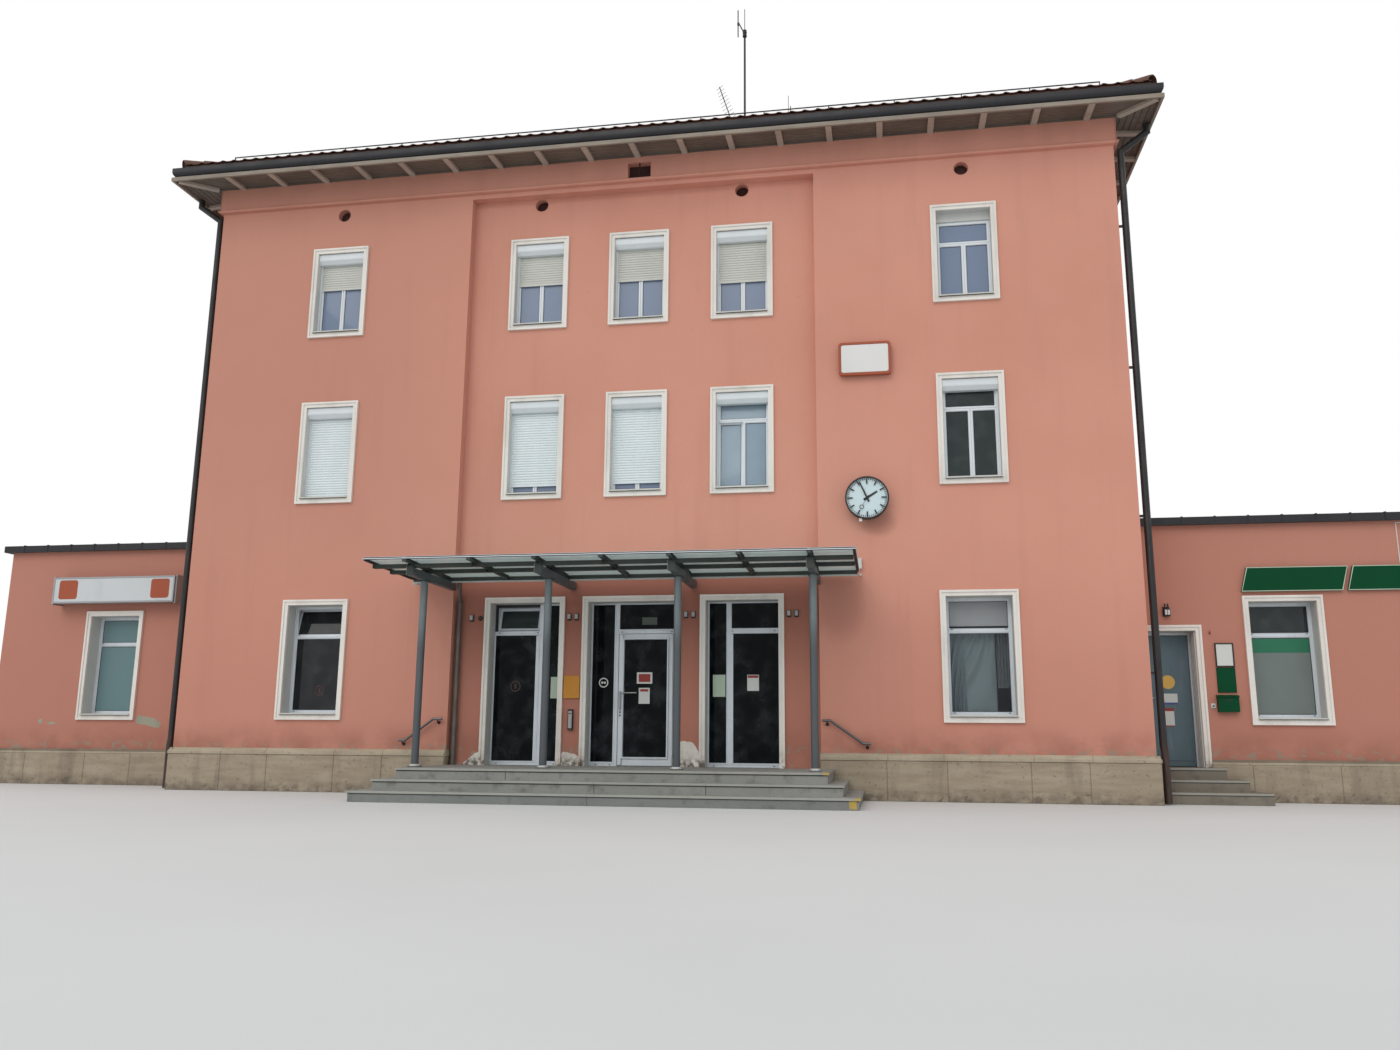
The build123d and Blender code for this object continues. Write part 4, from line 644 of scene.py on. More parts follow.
def dress_nodes():
    """Gives every solid of the frame its finished material."""
    slots = {row["node"]: row["material_slot"] for row in frame["record"]["subparts"]}
    for name, obj in frame["nodes"].items():
        look = NODE_LOOKS.get(name, SLOT_LOOKS.get(slots[name], slots[name]))
        obj.data.materials.clear()
        obj.data.materials.append(LOOKS[look])


# Camera, floor and light

EYE = (4.082453, -17.280001, 0.942368)
YAW, PITCH, ROLL = (math.radians(angle) for angle in (-9.6597, 10.95771, 0.38702))
FLOOR_REACH = 160.0


def camera():
    """The photograph's viewpoint."""
    data = bpy.data.cameras.new("camera")
    data.lens = 28.08
    data.sensor_width = 36.0
    data.sensor_fit = "HORIZONTAL"
    data.clip_end = 500.0
    obj = linked("camera", data)
    aim = Matrix.Rotation(-YAW, 4, "Z") @ Matrix.Rotation(math.pi / 2 + PITCH, 4, "X")
    obj.matrix_world = Matrix.Translation(EYE) @ aim @ Matrix.Rotation(ROLL, 4, "Z")
    bpy.context.scene.camera = obj


def floor():
    mesh = bpy.data.meshes.new("floor")
    corners = ((-1, -1), (1, -1), (1, 1), (-1, 1))
    mesh.from_pydata([(FLOOR_REACH * x, FLOOR_REACH * y, -0.002) for x, y in corners], [], [(0, 1, 2, 3)])
    s = Shade("floor", (0.70, 0.70, 0.69))
    s.lay(s.noise(0.2, 0.2, 0.8, 3), 1, (0.66, 0.66, 0.65))
    s.finish(0.9)
    mesh.materials.append(LOOKS["floor"])
    linked("floor", mesh)


def light():
    """An even pale sky, white where it is seen or mirrored, and one soft sun."""
    bpy.context.scene.view_settings.view_transform = "Standard"
    world = bpy.data.worlds.new("sky")
    bpy.context.scene.world = world
    world.use_nodes = True
    sky = Nodes(world.node_tree)
    path = sky.node("ShaderNodeLightPath").outputs
    lit = sky.node("ShaderNodeBackground", Color=(0.93, 0.97, 1.0), Strength=0.86)
    seen = sky.node("ShaderNodeBackground", Color=(1.0, 1.0, 1.0), Strength=1.0)
    direct = sky.math("MAXIMUM", path["Is Camera Ray"], path["Is Glossy Ray"])
    direct = sky.math("MAXIMUM", direct, path["Is Transmission Ray"])
    mixed = sky.node("ShaderNodeMixShader")
    for socket, value in zip(mixed.inputs, (direct, lit.outputs[0], seen.outputs[0])):
        sky.put(socket, value)
    sky.node("ShaderNodeOutputWorld", Surface=mixed.outputs[0])
    sun = bpy.data.lights.new("soft_sun", "SUN")
    sun.energy = 0.75
    sun.angle = math.radians(40)
    sun.color = (1.0, 0.97, 0.92)
    linked("soft_sun", sun).rotation_euler = (math.radians(52), 0, math.radians(-18))


# Stonework

STONE_STEP = 0.06
STONE_EDGE = 0.010
STONE_LENGTH = (0.85, 1.35)
JOINT = 0.005
FOOT_TOP = 0.22


def grid_lines(low, high):
    """Lines from low to high with one more line close to each end."""
    inner = high - low - 2 * STONE_EDGE
    count = max(1, round(inner / STONE_STEP))
    return [low, *(low + STONE_EDGE + i * inner / count for i in range(count + 1)), high]


def hewn(shape, place, x0, x1, z1, face, back, seed):
    """A stone facing whose front is uneven and whose edges are worn."""
    xs = grid_lines(x0, x1)
    zs = grid_lines(0.0, z1)
    n = len(xs)
    rows = len(zs)
    verts = []
    for j, z in enumerate(zs):
        for i, x in enumerate(xs):
            bumps = noise.noise(Vector((x * 3.1 + seed, z * 3.7, seed)))
            chips = noise.noise(Vector((x * 11.0, z * 13.0 + seed, seed)))
            y = face + 0.004 * (bumps + 0.5 * chips)
            if z < FOOT_TOP:
                y += 0.022 * max(0.0, chips + 0.1) * (1 - z / FOOT_TOP)
            if i in (0, n - 1) or j in (0, rows - 1):
                y = max(y, face) + 0.004
            verts.append((x, min(y, back - 0.001), z))
    faces = []
    for j in range(rows - 1):
        faces += [(a, a + 1, a + n + 1, a + n) for a in range(j * n, j * n + n - 1)]
    border = [*range(n), *(j * n + n - 1 for j in range(1, rows))]
    border += [(rows - 1) * n + i for i in range(n - 2, -1, -1)]
    border += [j * n for j in range(rows - 2, 0, -1)]
    rim = len(verts)
    verts += [(verts[b][0], back, verts[b][2]) for b in border]
    for k, b in enumerate(border):
        m = (k + 1) % len(border)
        faces.append((b, rim + k, rim + m, border[m]))
    faces.append(tuple(range(rim, rim + len(border))))
    shape.add(verts, faces, place)


def cut_points(x0, x1, given, rng):
    """Joint places along a run: the given ones, or random ones."""
    if given:
        return [x0, *given, x1]
    points = [x0]
    while x1 - points[-1] > STONE_LENGTH[1]:
        points.append(points[-1] + rng.uniform(*STONE_LENGTH))
    if x1 - points[-1] < 0.4 and len(points) > 1:
        points.pop()
    return [*points, x1]


def plinth_run(body, caps, rng, body_top, top, lip, place, x0, x1, out=0.05, given=()):
    """Stones and a moulded top course over one stretch of plinth."""
    joints = cut_points(x0, x1, given, rng)
    for a, b in zip(joints, joints[1:]):
        hewn(
            body, place, a + JOINT, b - JOINT, body_top - 0.004, -out - 0.007, -out + 0.01,
            rng.uniform(0, 50),
        )
    shift = [j + rng.uniform(-0.05, 0.05) for j in joints[1:-1]]
    fillet = body_top + (top - body_top) / 2
    face = -out - lip - 0.004
    profile = [
        (face + 0.004, body_top), (face, body_top + 0.006), (face, fillet - 0.006), (face + 0.004, fillet),
        (-0.001, top + 0.004), (0.012, top + 0.004), (0.012, body_top),
    ]
    for a, b in zip([x0, *shift], [*shift, x1]):
        caps.run(profile, a + 0.003, b - 0.003, place)


def plinths():
    rng = random.Random(11)
    front, back, left, right = (SIDES[side][0] for side in ("front", "back", "left", "right"))
    end = HALF + 0.05
    main = (
        (front, -end, RECESS[0], 0.05, (-7.034, -6.184, -4.981, -4.131)),
        (front, RECESS[1], end, 0.05, (4.055, 4.956, 6.175, 7.013)),
        (turned(RECESS[0], 0, 90), -0.05, RECESS_Y, 0.0),
        (turned(RECESS[1], 0, -90), -RECESS_Y, 0.05, 0.0),
        (left, -5.55, -4.33), (left, 4.33, 5.55), (right, -5.55, -4.33), (right, 4.33, 5.55),
        (back, -end, end),
    )
    wings = (
        (WING_FRONT, -12.72, -8.05),
        (WING_FRONT, 9.056, 14.75, 0.05, (9.64, 10.9, 12.1, 13.4)),
        (WING_BACK, 8.05, 12.72), (WING_BACK, -14.75, -8.05),
        (LEFT_END, -4.3, 4.3), (RIGHT_END, -4.3, 4.3),
    )
    for name, runs, heights in (("", main, (0.6, 0.7, 0.014)), ("wing_", wings, (0.56, 0.636, 0.0))):
        body, caps = Shape(), Shape()
        for values in runs:
            plinth_run(body, caps, rng, *heights, *values)
        body.piece(f"{name}plinth_stones", "sandstone", "sandstone")
        caps.piece(f"{name}plinth_top_course", "sandstone_cap", "sandstone", bevel=0.002)


# Roof

# Share of the width and height of points across one rolled tile.
TILE_PROFILE = (
    (0.0, 0.020), (0.14, 0.024), (0.28, 0.015), (0.42, 0.004), (0.62, 0.0), (0.84, 0.004), (1.0, 0.016)
)
TILE_WIDTH = 0.218
TILE_THICK = 0.012
CAP_LENGTH = 0.36
# How far the slopes reach past the walls, the height of their foot and their thickness.
EDGE = 0.52
SLOPE_FOOT = 11.155
SLOPE_THICK = 0.11
COURSES = 19
SOFFIT_TIP = -EAVE_OUT + 0.04
SOFFIT_INNER = -0.05
SOFFIT_Z = 10.95
SOFFIT_RISE = 0.045
BOARDS = 6


def roof_height(y):
    return SLOPE_FOOT + (y + EDGE) * RISE + SLOPE_THICK


def slope_tiles(side):
    """Courses of rolled clay tiles, cut along the hips."""
    shape = Shape()
    rng = random.Random(5 + len(side))
    place, half = SIDES[side]
    step = (MIDDLE + EDGE) / COURSES
    for course in range(COURSES):
        near = -EDGE + course * step
        far = near + step + 0.035
        if course == 0:
            near -= 0.045
        reach = half + EDGE - course * step
        count = int(math.ceil(reach / TILE_WIDTH))
        shift = 0.0 if course % 2 else TILE_WIDTH / 2
        for i in range(-count - 1, count + 1):
            left = i * TILE_WIDTH + shift
            if left > reach or left + TILE_WIDTH < -reach:
                continue
            wobble = rng.uniform(-0.002, 0.003)
            skew = rng.uniform(-0.004, 0.004)
            rings = []
            for y, lift in ((near + skew, 0.016), (far, 0.001)):
                limit = half - max(y, -EDGE)
                top = []
                for share, h in TILE_PROFILE:
                    x = max(-limit, min(limit, left + share * TILE_WIDTH * 1.04))
                    top.append((x, y, roof_height(y) + lift + h + wobble))
                rings.append(top + [(x, y, z - TILE_THICK) for x, y, z in reversed(top)])
            if rings[0][6][0] - rings[0][0][0] >= 0.02:
                shape.loft(rings, place)
    shape.piece(f"roof_tiles_{side}", "roof_tiles", "roof_tile")


def capping(shape, start, end, rng):
    """Half-round capping tiles laid from the low end to the high end."""
    start, end = Vector(start), Vector(end)
    way = (end - start).normalized()
    across = way.cross(Vector((0, 0, 1))).normalized()
    up = across.cross(way)
    length = (end - start).length
    count = max(1, round(length / CAP_LENGTH))
    step = length / count
    for i in range(count):
        low = start + way * (i * step - 0.03)
        high = start + way * ((i + 1) * step + 0.02)
        rings = []
        for point, radius in ((low, 0.124), (low + way * 0.03, 0.126), (high, 0.108)):
            outer = []
            inner = []
            for k in range(13):
                angle = math.pi * k / 12
                out = across * math.cos(angle) + up * math.sin(angle)
                drop = up * (0.003 * rng.uniform(-1, 1) if k == 0 else 0.0)
                outer.append(point + out * radius + drop)
                inner.append(point + out * (radius - 0.016))
            rings.append(outer + inner[::-1])
        shape.loft(rings)


def roof():
    for side in SIDES:
        slope_tiles(side)
    rng = random.Random(3)
    top = roof_height(MIDDLE)
    sunk = top - 0.09 * RISE
    ridge_end = HALF - MIDDLE
    shape = Shape()
    capping(shape, (-ridge_end, MIDDLE, sunk), (ridge_end, MIDDLE, sunk), rng)
    for sx in (-1, 1):
        for sy in (-1, 1):
            low = (sx * (HALF + EDGE), MIDDLE + sy * (MIDDLE + EDGE), roof_height(-EDGE) - 0.02)
            high = (sx * (ridge_end + 0.05), MIDDLE + sy * 0.05, top - 0.045)
            capping(shape, low, high, rng)
    shape.piece(
        "ridge_and_hip_capping", "roof_tiles", "roof_tile", bevel=0.003, instead=("ridge_and_hip_tiles",)
    )


def soffit():
    """Boards under the eaves, side by side with shadow gaps, and the moulding at the wall."""
    shape = Shape()
    width = SOFFIT_INNER - SOFFIT_TIP
    edges = [SOFFIT_TIP + i * width / BOARDS for i in range(BOARDS + 1)]
    gap = 0.004
    for side in SIDES:
        for a, b in zip(edges, edges[1:]):
            za, zb = (SOFFIT_Z + SOFFIT_RISE * (y - SOFFIT_TIP) / width for y in (a, b))
            shape.mitred(
                [
                    (a + gap, za + 0.015), (a + gap, za + gap), (a + 2 * gap, za),
                    (b - 2 * gap, zb), (b - gap, zb + gap), (b - gap, zb + 0.015),
                ],
                side,
            )
        shape.mitred(strip(-0.05, 0.15, 10.996, 11.01), side)
        shape.mitred([(-0.085, 10.965), (-0.052, 10.965), (-0.052, 10.998), (-0.085, 10.996)], side)
    shape.piece("eaves_boarding", "boards_in_painted_shade", "timber", instead=("soffit_boards",))


# Windows

# Width and depth of the reveal.
UPPER_SIZE = (0.885, 0.16)
GROUND_SIZE = (1.01, 0.25)
ROW_TWO = (8.039, 9.564)
ROW_ONE = (4.981, 6.638)
ROW_GROUND = (1.263, 3.111)
COLUMNS = (-5.525, -1.81, 0.0, 1.81, 5.525)
SIDE_COLUMNS = (-3.2, 0.0, 3.2)
# How far each shutter of the front is let down; None has no shutter.
DROPS_TWO = (0.36, 0.42, 0.44, 0.55, None)
DROPS_ONE = (1.0, 0.9, 0.9, 0.0, 0.0)
SASH = 0.036
SLAT = 0.045
SLAT_PROFILE = (
    (0.004, 0.0), (-0.003, 0.25), (-0.0045, 0.5), (-0.003, 0.75), (0.004, 1.0), (0.009, 1.0), (0.009, 0.0)
)
TILTS = {("one2", "top"): 7.0, ("one2", "left"): 3.2, ("L0", "top"): 16.0}
GLASSES = "window_glass clear_glass frosted_glass dark_glass sky_glass"
GLAZING = {"one2": 4, "R0": 1, "LW": 2, "one6": 3, "RW": 3}


class Window:
    """One window in a wall's own frame, with the state that the photograph shows."""

    def __init__(self, place, x, span, kind="open", tag="", face=0.0, drop=None, head=0.0):
        width, reveal = GROUND_SIZE if kind == "ground" else UPPER_SIZE
        self.place = place
        self.x = x
        self.z0, self.z1 = span
        self.top = self.z1 - head
        self.left, self.right = x - width / 2, x + width / 2
        self.kind = kind
        self.face = face
        self.front = face + reveal
        self.drop = drop
        self.tag = tag

    def lights(self):
        """Glazed lights as (x0, x1, z0, z1, name), the top one last."""
        left, right = self.left + 0.058, self.right - 0.058
        low, high = self.z0 + 0.078, self.top - 0.058
        split = high - 0.27 * (high - low)
        top = (left, right, split + 0.04, high, "top")
        if self.kind == "ground":
            return [(left, right, low, split - 0.04, "main"), top]
        head = split - 0.04 if self.kind == "open" else high
        pair = [(left, self.x - 0.04, low, head, "left"), (self.x + 0.04, right, low, head, "right")]
        return [*pair, top] if self.kind == "open" else pair


def all_windows():
    found = []
    front, back = SIDES["front"][0], SIDES["back"][0]
    for span, drops, row in ((ROW_TWO, DROPS_TWO, "two"), (ROW_ONE, DROPS_ONE, "one")):
        for x, drop in zip(COLUMNS, drops):
            face = RECESS_Y if RECESS[0] < x < RECESS[1] else 0.0
            head = 0.148 if drop is None else 0.0
            kind = "shut" if drop else "open"
            found.append(Window(front, x, span, kind, f"{row}{x:.0f}", face, drop, head))
    for span in (ROW_TWO, ROW_ONE):
        for side, columns in (("back", COLUMNS), ("left", SIDE_COLUMNS), ("right", SIDE_COLUMNS)):
            found += [Window(SIDES[side][0], x, span) for x in columns]
    spots = [(front, -5.525, "L0"), (front, 5.525, "R0"), *((back, x, "") for x in COLUMNS)]
    spots += [(WING_FRONT, -10.29, "LW"), (WING_BACK, 10.29, "")]
    spots += [(WING_FRONT, 10.295, "RW"), (WING_FRONT, 13.3, "RW")]
    spots += [(WING_BACK, -10.295, ""), (WING_BACK, -13.3, ""), (LEFT_END, 0.0, ""), (RIGHT_END, 0.0, "")]
    return found + [Window(place, x, ROW_GROUND, "ground", tag) for place, x, tag in spots]


WINDOWS = all_windows()


def tilted(place, y, z, degrees):
    """Turns a bottom-hung sash inwards about its lower edge."""
    foot = Matrix.Translation((0, y, z))
    return place @ foot @ Matrix.Rotation(math.radians(-degrees), 4, "X") @ foot.inverted()


def windows():
    """Outer frames, sashes with gaskets and panes, instead of the plain solids."""
    parts = {key: [Shape() for _ in range(4)] for key in ("upper", "ground")}
    for w in WINDOWS:
        key = "ground" if w.kind == "ground" else "upper"
        frames, sashes, gaskets, panes = parts[key]
        y = w.front
        back = y + 0.07
        low = w.z0 + 0.02
        section = [(0.0, y), (0.030, y), (0.030, y + 0.020), (0.050, y + 0.020), (0.050, back), (0.0, back)]
        frames.frame(w.left, w.right, low, w.top, section, w.place)
        lights = w.lights()
        head = w.top - 0.04
        if lights[-1][4] == "top":
            head = lights[-1][2] - 0.056
            frames.box(w.left + 0.04, w.right - 0.04, y, back, head, head + 0.032, w.place)
        if key == "upper":
            frames.box(w.x - 0.009, w.x + 0.009, y + 0.004, back, low + 0.04, head, w.place)
        f = y - 0.008 if key == "upper" else y + 0.004
        section = [
            (0.0, f + 0.004), (0.004, f), (SASH - 0.010, f), (SASH, f + 0.012), (SASH, f + 0.055),
            (0.0, f + 0.055),
        ]
        for x0, x1, z0, z1, name in lights:
            angle = TILTS.get((w.tag, name))
            place = tilted(w.place, y + 0.035, z0 - SASH, angle) if angle else w.place
            light = (x0, x1, z0, z1)
            sashes.frame(*inset(light, -SASH), section, place)
            gaskets.frame(*inset(light, -0.002), strip(0.0, 0.008, f + 0.016, f + 0.024), place)
            x0, x1, low_edge, high_edge = inset(light, -0.004)
            panes.box(x0, x1, f + 0.022, f + 0.044, low_edge, high_edge, place, GLAZING.get(w.tag, 0))
            if key == "ground":
                for x in (x0 + 0.039, x1 - 0.039):
                    gaskets.box(x - 0.016, x + 0.016, f - 0.0015, f + 0.002, z0 - 0.024, z0 - 0.012, place)
    dress = {"upper": ("white_frames", "white_plastic"), "ground": ("aluminium", "frame_metal")}
    for key, (look, slot) in dress.items():
        frames, sashes, gaskets, panes = parts[key]
        frames.piece(f"{key}_frames", look, slot, bevel=0.002, instead=(f"{key}_window_frames",))
        sashes.piece(f"{key}_sashes", look, slot, bevel=0.0015)
        gaskets.piece(f"{key}_gaskets", "gasket", slot)
        panes.piece(f"{key}_glazing", GLASSES, "glass", instead=(f"{key}_window_panes",))


def linings():
    """Painted reveals of windows and doors, painted shadow strips under the sills, over the shutter boxes and
    between the ribs of the wing door's reveal, and the recess box of one window.
    """
    shape, strips = Shape(), Shape()
    skin = 0.004
    for w in WINDOWS:
        section = strip(0.0, skin, w.face + 0.002, w.front + 0.002)
        shape.frame(w.left, w.right, w.z0 + 0.02, w.z1, section, w.place)
        x0, x1 = w.left, w.right
        if w.top < w.z1:
            y0, y1 = w.front - 0.03, w.front + 0.06
            shape.box(x0 + 0.003, x1 - 0.003, y0, y1, w.top + 0.001, w.z1 - 0.002, w.place)
        # Painted shadow strip under the front of each sill.
        y0, y1 = w.face - 0.057, w.face - 0.040
        strips.box(x0 + 0.002, x1 - 0.002, y0, y1, w.z0 - 0.008, w.z0 - 0.0005, w.place)
        if w.drop is not None:
            # Painted shadow line over each shutter box.
            y0, y1 = w.face + 0.003, w.face + 0.012
            strips.box(x0 + 0.004, x1 - 0.004, y0, y1, w.z1 - 0.010, w.z1 - 0.0045, w.place)
    reveals = [(*door, LANDING + 0.002, DOOR_TOP, RECESS_Y + 0.002, DOOR_Y - 0.001) for door in DOORWAYS]
    reveals.append((*WING_DOOR, WING_Y + 0.002, WING_Y + 0.299))
    for x0, x1, z0, z1, y0, y1 in reveals:
        shape.box(x0, x0 + skin, y0, y1, z0, z1 - skin)
        shape.box(x1 - skin, x1, y0, y1, z0, z1 - skin)
        shape.box(x0, x1, y0, y1, z1 - skin, z1)
    # Ribs in the wing door's right reveal, with painted shadow strips between them.
    _, x, z0, z1 = WING_DOOR
    for i in range(4):
        y = 1.285 + 0.073 * i
        shape.bar((x - skin, y, z0), (x - skin, y, z1 - 0.006), 0.019, 8)
        strips.box(x - 0.012, x - 0.003, y + 0.0195, min(y + 0.0535, 1.548), z0, z1 - 0.006)
    shape.piece("reveal_linings", "reveal_paint", "trim")
    strips.piece("sill_shadow_strips", "gasket", "sill_metal")


def cloth(name, w, x0, x1, z0, z1, fold, look, columns, rows=30):
    """A gathered curtain on its window's rail, whose folds are given as depth at (x, z)."""
    verts = []
    for j in range(rows + 1):
        z = z1 + (z0 - z1) * j / rows
        for i in range(columns + 1):
            x = x0 + (x1 - x0) * i / columns
            verts.append((x, fold(x, z), z))
    n = columns + 1
    faces = []
    for j in range(rows):
        faces += [(a, a + 1, a + 1 + n, a + n) for a in range(j * n, j * n + columns)]
    obj = Shape().add(verts, faces, w.place).piece(name, look, "trim", smooth=True)


def curtains():
    """Curtains behind two of the front windows, each on its rail."""
    upper, ground = (next(w for w in WINDOWS if w.tag == tag) for tag in ("one2", "R0"))
    upper_y, ground_y = upper.front + 0.16, ground.front + 0.15
    upper_z, ground_z = 6.47, 2.6
    for w, y, z in ((upper, upper_y, upper_z), (ground, ground_y, ground_z)):
        rail = Shape().bar((w.left, y, z), (w.right, y, z), 0.007)
        rail.piece(f"curtain_rail_{w.tag}", "bare_steel", "steel")

    def pleats(x, z):
        return upper_y + 0.009 + 0.017 * math.sin(math.tau * x / 0.062 + 0.6 * math.sin(3 * z))

    def swag(x, z):
        drop = ground_z - z
        side = x - ground.left
        pull = max(0.0, 1.0 - 1.1 * abs(side - 0.30) / 0.5)
        sweep = 8.0 * side + 4.2 * drop * (1.0 - 0.30 * drop) * pull
        return ground_y + 0.024 + (0.020 + 0.018 * min(1.0, drop)) * math.sin(math.tau * sweep)

    def lace(x, z):
        return ground_y + 0.012 + 0.010 * math.sin(math.tau * x / 0.045)

    x0, x1 = upper.left + 0.03, upper.x + 0.27
    cloth("curtain_upper", upper, x0, x1, 5.02, upper_z, pleats, "curtain_cloth", 120)
    x0, x1 = ground.left + 0.06, ground.right - 0.01
    cloth("curtain_swag", ground, x0, 5.775, 1.30, ground_z, swag, "net_cloth", 110, 60)
    cloth("curtain_lace", ground, 5.79, x1, 1.713, ground_z, lace, "lace_cloth", 48)
    x0, x1, y = ground.left + 0.001, ground.right - 0.001, ground.front + 0.085
    board = Shape().box(x0, x1, y, y + 0.012, 2.67, 3.10, ground.place)
    board.piece("transom_board", "pale_board", "trim", bevel=0.001)


def shutters():
    """Shutter boxes with guides, and slatted curtains let down by different amounts."""
    boxes, cream, white = Shape(), Shape(), Shape()
    for w in WINDOWS:
        if w.drop is None:
            continue
        top = w.z1
        high = top - 0.19
        y = w.face + 0.010
        profile = [
            (y, top), (y, top - 0.115), (y + 0.006, top - 0.128), (y + 0.048, top - 0.186),
            (y + 0.056, high), (w.front, high), (w.front, top),
        ]
        boxes.run(profile, w.left + 0.002, w.right - 0.002, w.place)
        boxes.box(w.left + 0.006, w.right - 0.006, y - 0.003, y + 0.002, top - 0.020, top - 0.006, w.place)
        for x in (w.left, w.right - 0.03):
            boxes.box(x, x + 0.03, w.front - 0.044, w.front - 0.002, w.z0 + 0.02, high, w.place)
        if not w.drop:
            continue
        slats = cream if w.z0 > 7 else white
        ends = (w.left + 0.024, w.right - 0.024, w.place)
        low = high - w.drop * (high - w.z0 - 0.02)
        y = w.front - 0.026
        bar = low + 0.042
        profile = [(y - 0.002, low), (y - 0.004, bar - 0.004), (y, bar), (y + 0.012, bar), (y + 0.012, low)]
        slats.run(profile, *ends)
        z = bar + 0.002
        while z < high:
            t = min(SLAT - 0.003, high - z)
            slats.run([(y + out, z + share * t) for out, share in SLAT_PROFILE], *ends)
            z += SLAT
    boxes.piece("shutter_housings", "shutter_boxes", "white_plastic", bevel=0.002, instead=("shutter_boxes",))
    cream.piece("shutter_slats_upper", "cream_slats", "cream_plastic", instead=("roller_shutters",))
    white.piece("shutter_slats_lower", "white_slats", "cream_plastic")


# Clock and signs

SIGN = (3.44, 4.29, 6.74, 7.30)
SIGN_Y = -0.100
LIGHT_BOX = (-11.445, -8.92, 3.33, 3.82)


def on_dial(degrees):
    return Matrix.Translation(CLOCK) @ Matrix.Rotation(math.radians(degrees), 4, "Y")


def clock():
    """Hour and minute marks, the seconds hand with its ring, the rim and the latch."""
    marks, second, rim = Shape(), Shape(), Shape()
    for i in range(60):
        length = 0.088 if i % 15 == 0 else 0.080 if i % 5 == 0 else 0.026
        half = 0.0045 if i % 5 else 0.0105
        marks.box(-half, half, -0.0265, -0.0255, 0.312 - length, 0.312, on_dial(6 * i))
    marks.piece("dial_marks", "clock_hands", "hand_black")
    place = on_dial(6 * 35)
    for z0, z1 in ((-0.05, 0.140), (0.203, 0.225)):
        second.box(-0.0025, 0.0025, -0.0300, -0.0285, z0, z1, place)
    second.hoop((0, 0, 0.171), 0.026, 0.036, -0.030, -0.0285, 28, place=place)
    second.disc((0, 0, 0), 0.012, 0.014, -0.032, -0.0255, 20, place=place)
    second.piece("seconds_hand", "clock_hands", "hand_black")
    profile = [
        (0.322, -0.040), (0.326, -0.044), (0.340, -0.044), (0.345, -0.038), (0.345, -0.030), (0.322, -0.030)
    ]
    rim.turn(CLOCK, profile, 64)
    rim.piece("clock_rim", "clock_metal", "clock_metal")
    tab = Shape().box(3.722, 3.768, -0.205, -0.150, 4.292, 4.352)
    tab.piece("clock_latch", "sign_white", "clock_metal", bevel=0.003)


def rounded(rect, radius):
    """Corner points of a rounded rectangle."""
    x0, x1, z0, z1 = inset(rect, radius)
    points = []
    for cx, cz, start in ((x1, z1, 0), (x0, z1, 90), (x0, z0, 180), (x1, z0, 270)):
        for k in range(7):
            a = math.radians(start + 15 * k)
            points.append((cx + radius * math.cos(a), cz + radius * math.sin(a)))
    return points


def plate(shape, rect, y, thick, radius, mark=0):
    """A thin board with rounded corners whose front is at y."""
    outline = rounded(rect, radius)
    shape.loft([[(x, depth, z) for x, z in outline] for depth in (y, y + thick)], mark=mark)


def rim_between(shape, outer, inner, front, back):
    """A raised rim between two closed (x, z) outlines."""
    rings = []
    for (xo, zo), (xi, zi) in zip(outer, inner):
        rings.append([(xo, back, zo), (xo, front, zo), (xi, front, zi), (xi, back, zi)])
    shape.loft(rings, closed=True)


def station_sign():
    """The bare white face of the station sign and its red rim."""
    white, rim = Shape(), Shape()
    plate(white, inset(SIGN, 0.045), SIGN_Y - 0.004, 0.01, 0.035)
    white.piece("station_sign_face", "sign_white", "sign_red", bevel=0.001)
    inner = rounded(inset(SIGN, 0.04), 0.035)
    rim_between(rim, rounded(SIGN, 0.06), inner, SIGN_Y - 0.008, SIGN_Y + 0.002)
    rim.piece("station_sign_rim", "sign_red", "sign_red", bevel=0.001)


def wing_signs():
    """The bare face, edge and red fields of the light box, and the office boards' rims."""
    faces, edge, fields, rims = (Shape() for _ in range(4))
    x0, x1, z0, z1 = inset(LIGHT_BOX, 0.03)
    faces.box(x0, x1, 0.944, 0.952, z0, z1)
    faces.piece("light_box_face", "sign_face", "sign_box", bevel=0.001)
    section = [(0.0, 0.955), (0.0, 0.936), (0.026, 0.936), (0.032, 0.944), (0.032, 0.955)]
    edge.frame(*LIGHT_BOX, section)
    edge.piece("light_box_edge", "sign_box", "sign_box")
    for x0, x1 in ((-11.32, -10.93), (-9.40, -9.02)):
        plate(fields, (x0, x1, 3.405, 3.765), 0.9425, 0.002, 0.05)
    fields.piece("light_box_fields", "sign_red", "sign_red")
    for x0 in (9.697, 11.266):
        corners = ((0.0, 3.265, 1, 1), (1.494, 3.265, -1, 1), (1.594, 3.653, -1, -1), (0.1, 3.653, 1, -1))
        outer = [(x0 + x, z) for x, z, _, _ in corners]
        inner = [(x0 + x + 0.012 * sx, z + 0.012 * sz) for x, z, sx, sz in corners]
        rim_between(rims, outer, inner, 1.187, 1.193)
    rims.piece("office_board_rims", "green_paper", "sign_green")


